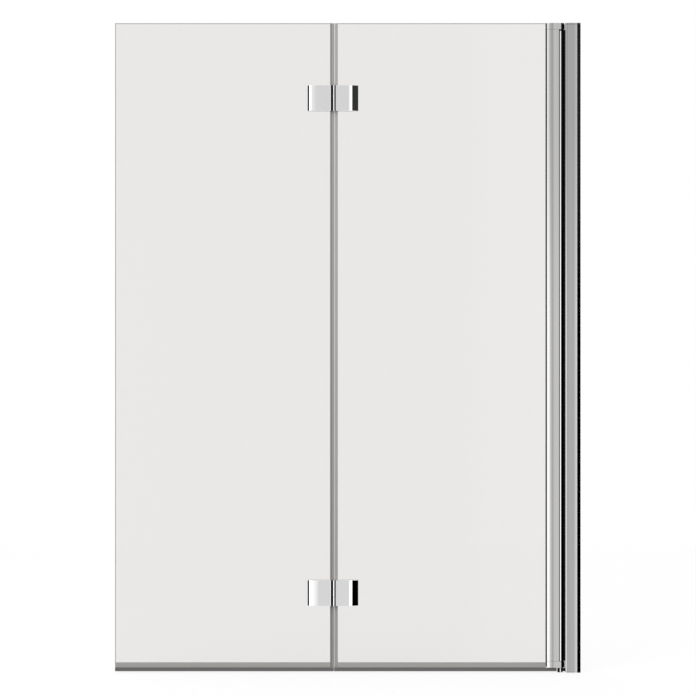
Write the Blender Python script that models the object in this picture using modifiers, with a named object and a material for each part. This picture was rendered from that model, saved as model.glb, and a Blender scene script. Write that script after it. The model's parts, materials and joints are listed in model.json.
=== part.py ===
"""Folding bath screen: two frameless glass panes on a pivoting wall profile.

The wall channel is fixed to the wall. The jamb profile slides in it to take up the width,
and its round knuckle is the fixed part of the wall pivot. The swing profile turns about that
knuckle and clamps the inner pane. Two glass-to-glass hinges carry the outer pane, which folds
to the front.

Metres, +Z up, +X towards the wall, -Y towards the front. The origin lies on the wall face of
the channel, at half height. Outlines are drawn in the world's plan, X and Y, unless a
function says otherwise, and what lies on the left of the wall has a negative X.
"""

import math

import bmesh
import bpy

# Whole screen
SCREEN_HEIGHT = 1.400
INNER_PANE_WIDTH = 0.467
OUTER_PANE_WIDTH = 0.468
GLASS_THICKNESS = 0.006
GLASS_LIFT = 0.012
FOLD_SLIT = 0.008

# Clearances
SEAT_GAP = 0.0003
TURN_GAP = 0.0004
SLIDE_GAP = 0.0004
CUT_OVERRUN = 0.002

# Wall channel
CHANNEL_DEPTH = 0.0328
CHANNEL_HALF = 0.013
CHANNEL_WALL = 0.002
CHANNEL_EDGE_RADIUS = 0.0018
TAPER_DEPTH = 0.0082
TAPER_RADIUS = 0.010
TAPER_ANGLE = math.radians(20)
CHANNEL_CAP_THICKNESS = 0.0017
CHANNEL_CAP_PLUG = 0.008
WALL_HOLE_RADIUS = 0.003
WALL_HOLE_HEIGHT_SHARES = (-0.86, -0.29, 0.29, 0.86)

# Jamb profile
JAMB_WALL = 0.0018
JAMB_END_GAP = 0.0008
SLIDE_TRAVEL = 0.014
KNUCKLE_RADIUS = 0.0086
NECK_HALF = 0.0013

# Jamb screws and their covers
JAMB_SCREW_HEIGHT_SHARES = (-0.64, 0.0, 0.64)
JAMB_SCREW_RADIUS = 0.00175
JAMB_SCREW_LENGTH = 0.009
JAMB_SCREW_EDGE = 0.005
SCREW_HEAD_RADIUS = 0.0038
SCREW_HEAD_HEIGHT = 0.0021
COVER_WALL = 0.001
COVER_ROOM = 0.0005

# Swing profile
SWING_HALF = 0.0094
SWING_REACH = 0.0288
SWING_SIDE_GAP = 0.0013
NOSE_LENGTH = 0.0147
NOSE_DROP = 0.0030
TIP_CLEARANCE = 0.0007
POCKET_DEPTH = 0.0123
MOUTH_HALF = 0.0052
MOUTH_LIP = 0.0023
CHAMBER_HALF = 0.0062
GASKET_LIP = 0.0019
GASKET_STEM = 0.0065
GASKET_WEDGE = 0.002

# Swing profile's caps, screws and pivot
CAP_HEIGHT = 0.0138
CAP_LIFT = 0.0105
CAP_ROOF = 0.0037
CAP_SCREW_RADIUS = 0.00165
CAP_SCREW_HEAD_RADIUS = 0.0025
CAP_SCREW_HEAD_HEIGHT = 0.002
CAP_SCREW_BITE = 0.012
PIVOT_PIN_RADIUS = 0.004
PIVOT_PIN_GRIP = 0.020
BUSH_WALL = 0.0013
WASHER_THICKNESS = 0.0008
FOOT_WALL = 0.0015
FOOT_FLOOR = 0.0027
FOOT_PLUG_RISE = 0.015
FOOT_NECK = 0.003

# Glass-to-glass hinges
TOP_HINGE_INSET = 0.162
BOTTOM_HINGE_INSET = 0.1595
HINGE_HEIGHT = 0.055
OUTER_LEAF_REACH = 0.0568
INNER_LEAF_REACH = 0.0525
LEAF_THICKNESS = 0.0075
LEAF_SLOPE = 0.0212
LEAF_DROP = 0.0062
LEAF_END_RADIUS = 0.0045
LEAF_ARM = 0.0035
BACK_PLATE_THICKNESS = 0.005
BACK_PLATE_CORNER = 0.003
HINGE_GASKET_THICKNESS = 0.0009
HINGE_GASKET_INSET = 0.0015
HINGE_PIN_RADIUS = 0.0017
HINGE_PIN_PROUD = 0.0008
KNUCKLE_WALL = 0.0012
PIN_STANDOFF = 0.0004
CLAMP_SCREW_REACH = 0.0315
CLAMP_SCREW_SPACING = 0.028
CLAMP_SCREW_RADIUS = 0.0025
CLAMP_HEAD_RADIUS = 0.0044
CLAMP_HEAD_HEIGHT = 0.0027
CLAMP_SOCKET_RADIUS = 0.0018
CLAMP_BITE = 0.0045
GLASS_HOLE_RADIUS = 0.007

# Seals
SEAL_WALL = 0.0009
FOLD_SEAL_LEG = 0.0042
FOLD_SEAL_EDGE_RADIUS = 0.0015
BOTTOM_SEAL_WALL = 0.0012
BOTTOM_SEAL_WEB = 0.0014
CLIP_HEIGHT = 0.0087
FIN_DROP = 0.0093
FIN_SPREAD = 0.002
FIN_THICKNESS = 0.0011
FIN_TAIL = 0.0214
FIN_TAIL_DROP = 0.0030

# Facets of round shapes
ROUND_STEPS = 32
SMALL_STEPS = 16
CORNER_STEPS = 5
SOCKET_SIDES = 6
SHARP_ANGLE = math.radians(30)

# Heights
TOP = SCREEN_HEIGHT / 2
SILL = -TOP
GLASS_BOTTOM = SILL + GLASS_LIFT
GLASS_HALF = GLASS_THICKNESS / 2
GLASS_SEAT = GLASS_HALF + SEAT_GAP
WELD_DISTANCE = SEAT_GAP / 10

# Wall channel and jamb, in plan
CHANNEL_CAVITY = CHANNEL_HALF - CHANNEL_WALL
JAMB_HALF = CHANNEL_CAVITY - SLIDE_GAP
JAMB_FACE_X = -CHANNEL_DEPTH + SEAT_GAP
JAMB_BACK_X = -TAPER_DEPTH - JAMB_END_GAP
JAMB_INSIDE_X = JAMB_FACE_X + JAMB_WALL
JAMB_INSIDE = JAMB_HALF - JAMB_WALL
JAMB_SCREW_X = JAMB_BACK_X - JAMB_SCREW_EDGE

# Wall pivot and swing profile, in plan
PIVOT_X = -CHANNEL_DEPTH - SWING_SIDE_GAP - SWING_HALF
KNUCKLE_SEAT = KNUCKLE_RADIUS + TURN_GAP
TIP_X = PIVOT_X - NECK_HALF - TIP_CLEARANCE
NOSE_X = PIVOT_X - SWING_REACH
POCKET_X = NOSE_X + POCKET_DEPTH
PORT_X = (POCKET_X + PIVOT_X - KNUCKLE_SEAT) / 2
PIN_BORE = PIVOT_PIN_RADIUS + SEAT_GAP
BUSH_RADIUS = PIN_BORE + BUSH_WALL
EYE_BORE = BUSH_RADIUS + SEAT_GAP

# Wall pivot and swing profile, in height
LOWER_CAP_BASE = SILL + CAP_LIFT
LOWER_CAP_TOP = LOWER_CAP_BASE + CAP_HEIGHT
UPPER_CAP_BASE = TOP - CAP_HEIGHT
SWING_BASE = LOWER_CAP_TOP + SEAT_GAP
SWING_TOP = UPPER_CAP_BASE - SEAT_GAP
KNUCKLE_BASE = LOWER_CAP_TOP + TURN_GAP
KNUCKLE_TOP = UPPER_CAP_BASE - TURN_GAP
WASHER_BASE = LOWER_CAP_BASE - SEAT_GAP - WASHER_THICKNESS
FOOT_TOP = WASHER_BASE - SEAT_GAP
CHANNEL_TOP = TOP - CHANNEL_CAP_THICKNESS - SEAT_GAP
JAMB_TOP = CHANNEL_TOP - SEAT_GAP
JAMB_BASE = FOOT_TOP + SEAT_GAP

# Panes and fold axis, in plan
INNER_PANE_RIGHT = POCKET_X - SEAT_GAP
INNER_PANE_LEFT = INNER_PANE_RIGHT - INNER_PANE_WIDTH
FOLD_X = INNER_PANE_LEFT - FOLD_SLIT / 2
OUTER_PANE_RIGHT = FOLD_X - FOLD_SLIT / 2
OUTER_PANE_LEFT = OUTER_PANE_RIGHT - OUTER_PANE_WIDTH
PLATE_SEAT = GLASS_SEAT + HINGE_GASKET_THICKNESS + SEAT_GAP
LEAF_FACE = PLATE_SEAT + LEAF_THICKNESS
FOLD_Y = -LEAF_FACE - PIN_STANDOFF
HINGE_PIN_BORE = HINGE_PIN_RADIUS + SEAT_GAP
BARREL_RADIUS = HINGE_PIN_BORE + KNUCKLE_WALL
OUTER_LEAF_STOP = FOLD_X - BARREL_RADIUS - SEAT_GAP / 3
HINGE_HEIGHTS = {"top": TOP - TOP_HINGE_INSET, "bottom": GLASS_BOTTOM + BOTTOM_HINGE_INSET}
SEAL_SEAT = GLASS_SEAT + SEAL_WALL
CLAMP_HOLE_RADIUS = CLAMP_SCREW_RADIUS + SEAT_GAP

# Which way each axis of an outline points: along X it lies in Y and Z, along Y in X and Z
OUTLINE_TURNS = {
    "X": (math.pi / 2, 0, math.pi / 2),
    "Y": (math.pi / 2, 0, 0),
    "Z": (0, 0, 0),
}
AXES = "XYZ"

MATERIALS = {
    "chrome": {"Base Color": (0.80, 0.80, 0.81, 1), "Metallic": 1.0, "Roughness": 0.06},
    "polished_aluminium": {"Base Color": (0.68, 0.68, 0.69, 1), "Metallic": 1.0, "Roughness": 0.14},
    "clear_glass": {
        "Base Color": (0.90, 0.92, 0.91, 1),
        "Roughness": 0.02,
        "Transmission Weight": 1.0,
        "Alpha": 0.35,
    },
    "seal_vinyl": {"Base Color": (0.42, 0.42, 0.41, 1), "Roughness": 0.35},
    "gasket_rubber": {"Base Color": (0.03, 0.03, 0.03, 1), "Roughness": 0.6},
    "nylon": {"Base Color": (0.75, 0.75, 0.72, 1), "Roughness": 0.5},
    "stainless_steel": {"Base Color": (0.55, 0.55, 0.56, 1), "Metallic": 1.0, "Roughness": 0.25},
}


def arc(centre, radius, start, end, steps):
    """Points on a circle from one angle to another, in radians."""
    angles = [start + (end - start) * step / steps for step in range(steps + 1)]
    return [
        (centre[0] + radius * math.cos(angle), centre[1] + radius * math.sin(angle))
        for angle in angles
    ]


def circle(centre, radius, steps=ROUND_STEPS):
    return arc(centre, radius, 0, 2 * math.pi, steps)[:-1]


def rectangle(left, right, low, high):
    return [(left, low), (right, low), (right, high), (left, high)]


def mirrored(points):
    """The same points on the other side of the horizontal axis, in the opposite order."""
    return [(u, -v) for u, v in reversed(points)]


def easing(flat_x, end_x, face, drop):
    """An arc that leaves a face at flat_x, tangent to it, and has dropped by drop at end_x."""
    length = abs(end_x - flat_x)
    radius = (length**2 + drop**2) / (2 * drop)
    along = math.copysign(1, end_x - flat_x)
    outward = math.copysign(1, face)
    points = []
    for step in range(CORNER_STEPS + 1):
        angle = math.asin(length / radius) * step / CORNER_STEPS
        fall = radius * (1 - math.cos(angle))
        points.append((flat_x + along * radius * math.sin(angle), face - outward * fall))
    return points


def material(slot):
    """The named material, made the first time that it is asked for."""
    made = bpy.data.materials.get(slot)
    if made is None:
        made = bpy.data.materials.new(slot)
        made.use_nodes = True
        shader = made.node_tree.nodes["Principled BSDF"]
        for socket, value in MATERIALS[slot].items():
            shader.inputs[socket].default_value = value
    return made


def linked(name, mesh, slot=None):
    """An object for a mesh: a sub-part where it has a material, or else a tool to cut or join."""
    solid = bpy.data.objects.new(name, mesh)
    if slot is None:
        solid.hide_render = True
        solid.display_type = "WIRE"
        bpy.data.collections["Tools"].objects.link(solid)
    else:
        mesh.materials.clear()
        mesh.materials.append(material(slot))
        bpy.data.collections["Folding bath screen"].objects.link(solid)
    mesh.shade_smooth()
    mesh.set_sharp_from_angle(angle=SHARP_ANGLE)
    return solid


def extrusion(name, outlines, axis, low, high, slot=None):
    """A flat outline, with its holes, drawn out along one axis between two places."""
    curve = bpy.data.curves.new(name, "CURVE")
    curve.dimensions = "2D"
    curve.fill_mode = "BOTH"
    curve.extrude = (high - low) / 2
    for outline in outlines:
        spline = curve.splines.new("POLY")
        spline.points.add(len(outline) - 1)
        for point, (u, v) in zip(spline.points, outline):
            point.co = (u, v, 0, 1)
        spline.use_cyclic_u = True
    drawn = bpy.data.objects.new(name, curve)
    bpy.context.scene.collection.objects.link(drawn)
    drawn.rotation_euler = OUTLINE_TURNS[axis]
    drawn.location[AXES.index(axis)] = (low + high) / 2
    bpy.context.view_layer.update()
    graph = bpy.context.evaluated_depsgraph_get()
    mesh = bpy.data.meshes.new_from_object(drawn.evaluated_get(graph))
    mesh.name = name
    weld_caps(mesh)
    placed = drawn.matrix_world.copy()
    bpy.data.objects.remove(drawn)
    bpy.data.curves.remove(curve)
    solid = linked(name, mesh, slot)
    solid.matrix_world = placed
    return solid


def weld_caps(mesh):
    """Joins a curve's loose caps to its sides."""
    shape = bmesh.new()
    shape.from_mesh(mesh)
    bmesh.ops.remove_doubles(shape, verts=shape.verts, dist=WELD_DISTANCE)
    bmesh.ops.recalc_face_normals(shape, faces=shape.faces)
    shape.to_mesh(mesh)
    shape.free()


def block(name, low, high, slot=None):
    """A box between two opposite corners."""
    shape = bmesh.new()
    bmesh.ops.create_cube(shape, size=1)
    bmesh.ops.scale(shape, vec=[b - a for a, b in zip(low, high)], verts=shape.verts)
    mesh = bpy.data.meshes.new(name)
    shape.to_mesh(mesh)
    shape.free()
    solid = linked(name, mesh, slot)
    solid.location = [(a + b) / 2 for a, b in zip(low, high)]
    return solid


def turned(name, profile, centre, turn, slot=None, steps=SMALL_STEPS):
    """A profile of radii and heights, from its top down the outside, turned about its own Z."""
    mesh = bpy.data.meshes.new(name)
    edges = [(i, i + 1) for i in range(len(profile) - 1)]
    mesh.from_pydata([(radius, 0, height) for radius, height in profile], edges, [])
    solid = linked(name, mesh, slot)
    solid.location = centre
    solid.rotation_euler = turn
    screw = solid.modifiers.new("Turn", "SCREW")
    screw.steps = steps
    screw.render_steps = steps
    screw.use_merge_vertices = True
    screw.merge_threshold = WELD_DISTANCE
    screw.use_smooth_shade = False
    return solid


def rod(name, radius, low, high, plan, slot=None, steps=SMALL_STEPS):
    """An upright cylinder."""
    return extrusion(name, [circle(plan, radius, steps)], "Z", low, high, slot)


def combine(solid, other, operation):
    """Cuts or joins with a tool, which from then on goes where the solid goes."""
    bpy.context.view_layer.update()
    other.parent = solid
    other.matrix_parent_inverse = solid.matrix_world.inverted()
    boolean = solid.modifiers.new(other.name, "BOOLEAN")
    boolean.object = other
    boolean.operation = operation
    boolean.solver = "EXACT"


def cut(solid, *tools):
    for tool in tools:
        combine(solid, tool, "DIFFERENCE")


def join(solid, *others):
    for other in others:
        combine(solid, other, "UNION")


def axis_empty(name, place, parent=None):
    """The empty that carries a moving body, on its joint's axis."""
    empty = bpy.data.objects.new(name, None)
    empty.empty_display_size = KNUCKLE_RADIUS
    bpy.data.collections["Folding bath screen"].objects.link(empty)
    empty.location = place
    bpy.context.view_layer.update()
    if parent:
        carry(parent, empty)
    return empty


def carry(parent, *pieces):
    """Parents pieces to an empty, with their locations counted from it."""
    bpy.context.view_layer.update()
    for piece in pieces:
        piece.location = piece.matrix_world.translation - parent.matrix_world.translation
        piece.parent = parent
    bpy.context.view_layer.update()


def channel_outline():
    """The U section, which narrows towards the wall so that its front edge catches the light."""
    edge = CHANNEL_EDGE_RADIUS
    middle = (-TAPER_DEPTH, -CHANNEL_HALF + TAPER_RADIUS)
    inner_radius = TAPER_RADIUS - CHANNEL_WALL
    turn = (-math.pi / 2, -math.pi / 2 + TAPER_ANGLE)
    outer = arc(middle, TAPER_RADIUS, *turn, CORNER_STEPS)
    inner = arc(middle, inner_radius, *turn, CORNER_STEPS)
    slope = math.tan(TAPER_ANGLE)
    wall_y = outer[-1][1] - outer[-1][0] * slope
    web_y = inner[-1][1] - (inner[-1][0] + CHANNEL_WALL) * slope
    lip = (-CHANNEL_DEPTH + edge, -CHANNEL_HALF + edge)
    front = [(-CHANNEL_WALL, web_y)]
    front += reversed(inner)
    front += [(-CHANNEL_DEPTH, -CHANNEL_CAVITY)]
    front += arc(lip, edge, math.pi, math.pi * 3 / 2, CORNER_STEPS)
    front += outer
    front += [(0, wall_y)]
    return front + mirrored(front), front, web_y


def wall_channel():
    outline, front, web_y = channel_outline()
    channel = extrusion("wall_channel", [outline], "Z", -CHANNEL_TOP, CHANNEL_TOP, "polished_aluminium")
    for share in WALL_HOLE_HEIGHT_SHARES:
        hole = circle((0, share * TOP), WALL_HOLE_RADIUS, SMALL_STEPS)
        tool = extrusion("wall_hole", [hole], "X", -CHANNEL_WALL - CUT_OVERRUN, CUT_OVERRUN)
        cut(channel, tool)
    slot_half = JAMB_SCREW_RADIUS + SEAT_GAP
    for share in JAMB_SCREW_HEIGHT_SHARES:
        height = share * TOP
        ends = (JAMB_SCREW_X - SLIDE_TRAVEL, JAMB_SCREW_X)
        slot = arc((ends[1], height), slot_half, -math.pi / 2, math.pi / 2, SMALL_STEPS // 2)
        slot += arc((ends[0], height), slot_half, math.pi / 2, math.pi * 3 / 2, SMALL_STEPS // 2)
        low, high = CHANNEL_CAVITY - CUT_OVERRUN, CHANNEL_HALF + CUT_OVERRUN
        cut(channel, extrusion("jamb_screw_slot", [slot], "Y", low, high))
    covers = [channel_cap("channel_cap_top", front, web_y, 1)]
    covers += [channel_cap("channel_cap_bottom", front, web_y, -1)]
    return [channel, *covers]


def channel_cap(name, front, web_y, side):
    """A cover plate with a plug that fills the channel behind the jamb."""
    outside = front[front.index((-CHANNEL_DEPTH, -CHANNEL_CAVITY)) + 1 :]
    levels = sorted((side * TOP, side * (TOP - CHANNEL_CAP_THICKNESS)))
    cap = extrusion(name, [outside + mirrored(outside)], "Z", *levels, "chrome")
    depth = -CHANNEL_WALL - SEAT_GAP
    plug_half = -web_y - SEAT_GAP
    plug = rectangle(JAMB_BACK_X + SEAT_GAP, depth, -plug_half, plug_half)
    middle_of_plate = TOP - CHANNEL_CAP_THICKNESS / 2
    levels = sorted((side * middle_of_plate, side * (CHANNEL_TOP - CHANNEL_CAP_PLUG)))
    join(cap, extrusion(name + "_plug", [plug], "Z", *levels))
    return cap


def jamb_profile():
    """A U section that closes the channel's mouth, with the pivot's knuckle on a neck."""
    half, inside = JAMB_HALF, JAMB_INSIDE
    outline = [
        (JAMB_FACE_X, -half),
        (JAMB_BACK_X, -half),
        (JAMB_BACK_X, -inside),
        (JAMB_INSIDE_X, -inside),
        (JAMB_INSIDE_X, inside),
        (JAMB_BACK_X, inside),
        (JAMB_BACK_X, half),
        (JAMB_FACE_X, half),
    ]
    jamb = extrusion("jamb_profile", [outline], "Z", JAMB_BASE, JAMB_TOP, "polished_aluminium")
    neck_angle = math.asin(NECK_HALF / KNUCKLE_RADIUS)
    axis = (PIVOT_X, 0)
    knuckle = arc(axis, KNUCKLE_RADIUS, neck_angle, 2 * math.pi - neck_angle, ROUND_STEPS)
    neck_end = (JAMB_FACE_X + JAMB_INSIDE_X) / 2
    knuckle += [(neck_end, -NECK_HALF), (neck_end, NECK_HALF)]
    outlines = [knuckle, circle(axis, PIN_BORE, SMALL_STEPS)]
    join(jamb, extrusion("jamb_knuckle", outlines, "Z", KNUCKLE_BASE, KNUCKLE_TOP))
    for share in JAMB_SCREW_HEIGHT_SHARES:
        hole = circle((JAMB_SCREW_X, share * TOP), JAMB_SCREW_RADIUS + SEAT_GAP, SMALL_STEPS)
        low, high = JAMB_INSIDE - CUT_OVERRUN, JAMB_HALF + CUT_OVERRUN
        cut(jamb, extrusion("jamb_screw_hole", [hole], "Y", low, high))
    return jamb


def jamb_screws():
    """Pan-head screws from the rear, each under a domed cover."""
    face_y = CHANNEL_HALF + SEAT_GAP
    head, shank = SCREW_HEAD_RADIUS, JAMB_SCREW_RADIUS
    cavity = head + COVER_ROOM
    dome = cavity + COVER_WALL
    ceiling = SCREW_HEAD_HEIGHT + COVER_ROOM
    screw_profile = [
        (0, SCREW_HEAD_HEIGHT),
        (head - SCREW_HEAD_HEIGHT / 2, SCREW_HEAD_HEIGHT),
        (head, SCREW_HEAD_HEIGHT / 2),
        (head, 0),
        (shank, 0),
        (shank, -JAMB_SCREW_LENGTH),
        (0, -JAMB_SCREW_LENGTH),
    ]
    rise = ceiling + COVER_WALL
    dome_profile = [
        (dome * math.sin(angle), rise * math.cos(angle))
        for angle in [math.pi / 2 * step / CORNER_STEPS for step in range(CORNER_STEPS + 1)]
    ]
    dome_profile[0] = (0, rise)
    dome_profile[-1] = (dome, 0)
    lid_radius = cavity * math.sqrt(1 - (ceiling / rise) ** 2)
    dome_profile += [(cavity, 0), (cavity, SCREW_HEAD_HEIGHT / 2), (lid_radius, ceiling), (0, ceiling)]
    pieces = []
    for number, share in enumerate(JAMB_SCREW_HEIGHT_SHARES, start=1):
        place = (JAMB_SCREW_X, face_y, share * TOP)
        turn = (-math.pi / 2, 0, 0)
        pieces.append(turned(f"jamb_screw_{number}", screw_profile, place, turn, "stainless_steel"))
        pieces.append(turned(f"jamb_screw_cover_{number}", dome_profile, place, turn, "chrome"))
    return pieces


def pivot_foot():
    """The block under the lower cap: a round boss for the pin, and a plug up into the jamb."""
    radius = PIN_BORE + FOOT_WALL
    boss = arc((PIVOT_X, 0), radius, math.pi / 2, math.pi * 3 / 2, SMALL_STEPS)
    front_x = -CHANNEL_DEPTH - SEAT_GAP
    boss += [(front_x, -radius), (front_x, radius)]
    foot = extrusion("pivot_foot", [boss], "Z", SILL, FOOT_TOP, "chrome")
    flange_base = -CHANNEL_TOP + SEAT_GAP
    bridge = rectangle(front_x - FOOT_NECK, JAMB_INSIDE_X + FOOT_NECK, -radius, radius)
    join(foot, extrusion("foot_bridge", [bridge], "Z", flange_base, FOOT_TOP - SEAT_GAP))
    flange_left = JAMB_FACE_X + SEAT_GAP
    flange = rectangle(flange_left, JAMB_BACK_X - SEAT_GAP, -JAMB_HALF, JAMB_HALF)
    join(foot, extrusion("foot_flange", [flange], "Z", flange_base, FOOT_TOP))
    plug_half = JAMB_INSIDE - SEAT_GAP
    plug = rectangle(JAMB_INSIDE_X + SEAT_GAP, JAMB_SCREW_X, -plug_half, plug_half)
    plug_base = (flange_base + FOOT_TOP) / 2
    join(foot, extrusion("foot_plug", [plug], "Z", plug_base, FOOT_TOP + FOOT_PLUG_RISE))
    bore = rod("foot_bore", PIN_BORE, SILL + FOOT_FLOOR, FOOT_TOP + CUT_OVERRUN, (PIVOT_X, 0))
    cut(foot, bore)
    return foot


def pivot_hardware():
    """Pins and washer on the jamb's side, then the bushes on the swing profile's side."""
    axis = (PIVOT_X, 0)
    roof = TOP - CAP_ROOF
    lower = (SILL + FOOT_FLOOR + SEAT_GAP, KNUCKLE_BASE + PIVOT_PIN_GRIP)
    upper = (KNUCKLE_TOP - PIVOT_PIN_GRIP, roof - SEAT_GAP)
    fixed = [rod("pivot_pin_bottom", PIVOT_PIN_RADIUS, *lower, axis, "stainless_steel")]
    fixed += [rod("pivot_pin_top", PIVOT_PIN_RADIUS, *upper, axis, "stainless_steel")]
    bore = circle(axis, PIN_BORE, SMALL_STEPS)
    washer = [circle(axis, PIN_BORE + FOOT_WALL, SMALL_STEPS), bore]
    levels = (WASHER_BASE, WASHER_BASE + WASHER_THICKNESS)
    fixed += [extrusion("pivot_thrust_washer", washer, "Z", *levels, "nylon")]
    bush = [circle(axis, BUSH_RADIUS, SMALL_STEPS), bore]
    lower = (LOWER_CAP_BASE + SEAT_GAP, LOWER_CAP_TOP)
    upper = (UPPER_CAP_BASE, roof - SEAT_GAP)
    turning = [extrusion("pivot_bush_bottom", bush, "Z", *lower, "nylon")]
    turning += [extrusion("pivot_bush_top", bush, "Z", *upper, "nylon")]
    return fixed, turning


def nose():
    """The front of the swing section's glass side, from the slit outwards to the flat face."""
    return list(reversed(easing(NOSE_X + NOSE_LENGTH, NOSE_X, -SWING_HALF, NOSE_DROP)))


def swing_profile():
    """The clamping section: a pocket for the pane on one side, a seat for the knuckle behind."""
    tip_y = math.sqrt(KNUCKLE_SEAT**2 - (PIVOT_X - TIP_X) ** 2)
    tip_angle = math.atan2(tip_y, TIP_X - PIVOT_X)
    lip_x = NOSE_X + MOUTH_LIP
    front = [(POCKET_X, -CHAMBER_HALF), (lip_x, -CHAMBER_HALF), (lip_x, -MOUTH_HALF)]
    front += [(NOSE_X, -MOUTH_HALF), *nose(), (TIP_X, -SWING_HALF)]
    half_turn = arc((PIVOT_X, 0), KNUCKLE_SEAT, 2 * math.pi - tip_angle, tip_angle, ROUND_STEPS)
    outline = front + half_turn + mirrored(front)
    port = circle((PORT_X, 0), CAP_SCREW_RADIUS + SEAT_GAP, SMALL_STEPS)
    return extrusion(
        "swing_profile", [outline, port], "Z", SWING_BASE, SWING_TOP, "polished_aluminium"
    )


def swing_cap(name, base, side):
    """An end cap with the pivot's eye, slotted for the pane."""
    front = [(POCKET_X, -GLASS_SEAT), (NOSE_X, -GLASS_SEAT), *nose()]
    eye = arc((PIVOT_X, 0), SWING_HALF, -math.pi / 2, math.pi / 2, SMALL_STEPS)
    outline = front + eye + mirrored(front)
    cap = extrusion(name, [outline], "Z", base, base + CAP_HEIGHT, "chrome")
    bore_top = TOP - CAP_ROOF if side > 0 else base + CAP_HEIGHT + CUT_OVERRUN
    cut(cap, rod(name + "_bore", EYE_BORE, base - CUT_OVERRUN, bore_top, (PIVOT_X, 0)))
    shank = CAP_SCREW_RADIUS + SEAT_GAP
    levels = (base - CUT_OVERRUN, base + CAP_HEIGHT + CUT_OVERRUN)
    cut(cap, rod(name + "_hole", shank, *levels, (PORT_X, 0)))
    outside = base + CAP_HEIGHT if side > 0 else base
    floor = outside - side * (CAP_SCREW_HEAD_HEIGHT + SEAT_GAP)
    levels = sorted((floor, outside + side * CUT_OVERRUN))
    head = CAP_SCREW_HEAD_RADIUS + SEAT_GAP
    cut(cap, rod(name + "_head_room", head, *levels, (PORT_X, 0)))
    screw_profile = [
        (0, CAP_SCREW_HEAD_HEIGHT),
        (CAP_SCREW_HEAD_RADIUS, CAP_SCREW_HEAD_HEIGHT),
        (CAP_SCREW_HEAD_RADIUS, 0),
        (CAP_SCREW_RADIUS, 0),
        (CAP_SCREW_RADIUS, -CAP_HEIGHT - CAP_SCREW_BITE),
        (0, -CAP_HEIGHT - CAP_SCREW_BITE),
    ]
    turn = (0, 0, 0) if side > 0 else (math.pi, 0, 0)
    place = (PORT_X, 0, outside - side * CAP_SCREW_HEAD_HEIGHT)
    screw_name = name.replace("cap", "cap_screw")
    return [cap, turned(screw_name, screw_profile, place, turn, "stainless_steel")]


def glazing_gasket(name, side):
    """A stem inside the pocket, and the dark lip that shows along its mouth."""
    right = NOSE_X - SEAT_GAP
    inner, outer = GLASS_SEAT, MOUTH_HALF - SEAT_GAP
    lip = [(u, side * v) for u, v in rectangle(right - GASKET_LIP, right, inner, outer)]
    gasket = extrusion(name, [lip], "Z", GLASS_BOTTOM, TOP, "gasket_rubber")
    shoulder = NOSE_X + MOUTH_LIP + SEAT_GAP
    bulb = CHAMBER_HALF - SEAT_GAP
    stem = [
        (right - GASKET_LIP / 2, inner),
        (shoulder + GASKET_STEM + GASKET_WEDGE, inner),
        (shoulder + GASKET_STEM, bulb),
        (shoulder, bulb),
        (shoulder, outer - SEAT_GAP),
        (right - GASKET_LIP / 2, outer - SEAT_GAP),
    ]
    stem = [(u, side * v) for u, v in stem]
    join(gasket, extrusion(name + "_stem", [stem], "Z", SWING_BASE, SWING_TOP))
    return gasket


def pane(name, left, right, side):
    """A glass pane with the clamp screws' holes on the side of the fold."""
    outline = rectangle(left, right, GLASS_BOTTOM, TOP)
    holes = [circle(place, GLASS_HOLE_RADIUS, SMALL_STEPS) for place in clamp_places(side)]
    return extrusion(name, [outline, *holes], "Y", -GLASS_HALF, GLASS_HALF, "clear_glass")


def clamp_places(side, heights=HINGE_HEIGHTS.values()):
    """Where the clamp screws of one pane go, in X and Z."""
    return [
        (FOLD_X + side * CLAMP_SCREW_REACH, height + step * CLAMP_SCREW_SPACING / 2)
        for height in heights
        for step in (-1, 1)
    ]


def fold_seal(name, side):
    """A U over the pane's edge. The two seals meet under the hinge pins."""
    edge = FOLD_SLIT / 2
    base, inside = SEAT_GAP, edge - SEAT_GAP
    corner = FOLD_SEAL_EDGE_RADIUS
    half = SEAL_SEAT
    front = [(inside, -GLASS_SEAT), (edge + FOLD_SEAL_LEG, -GLASS_SEAT), (edge + FOLD_SEAL_LEG, -half)]
    front += arc((base + corner, -half + corner), corner, -math.pi / 2, -math.pi, CORNER_STEPS)
    outline = [(FOLD_X + side * u, v) for u, v in front + mirrored(front)]
    return extrusion(name, [outline], "Z", GLASS_BOTTOM, TOP, "seal_vinyl")


def bottom_seal_section():
    """The clip and its two wiping fins, in Y and Z."""
    wall = GLASS_SEAT + BOTTOM_SEAL_WALL
    floor = GLASS_BOTTOM - SEAT_GAP
    web = floor - BOTTOM_SEAL_WEB
    low = GLASS_BOTTOM - FIN_DROP
    half = [
        (wall - FIN_THICKNESS, web),
        (wall + FIN_SPREAD - FIN_THICKNESS, low),
        (wall + FIN_SPREAD, low),
        (wall, floor),
        (wall, GLASS_BOTTOM + CLIP_HEIGHT),
        (GLASS_SEAT, GLASS_BOTTOM + CLIP_HEIGHT),
        (GLASS_SEAT, floor),
    ]
    return half + [(-y, z) for y, z in reversed(half)]


def bottom_seal(name, left, right):
    section = bottom_seal_section()
    return extrusion(name, [section], "X", left, right, "seal_vinyl")


def trim(seal, name, left, right, base):
    """Takes away what lies above base over a stretch of a bottom seal."""
    reach = CHANNEL_HALF
    top = GLASS_BOTTOM + CLIP_HEIGHT + CUT_OVERRUN
    cut(seal, block(name, (left, -reach, base), (right, reach, top)))


def outer_bottom_seal():
    end = FOLD_X - SEAT_GAP
    seal = bottom_seal("outer_bottom_seal", OUTER_PANE_LEFT, end)
    clip_end = OUTER_PANE_RIGHT - FOLD_SEAL_LEG - SEAT_GAP
    trim(seal, "outer_clip_end", clip_end, end + CUT_OVERRUN, GLASS_BOTTOM - 2 * SEAT_GAP)
    return seal


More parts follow.
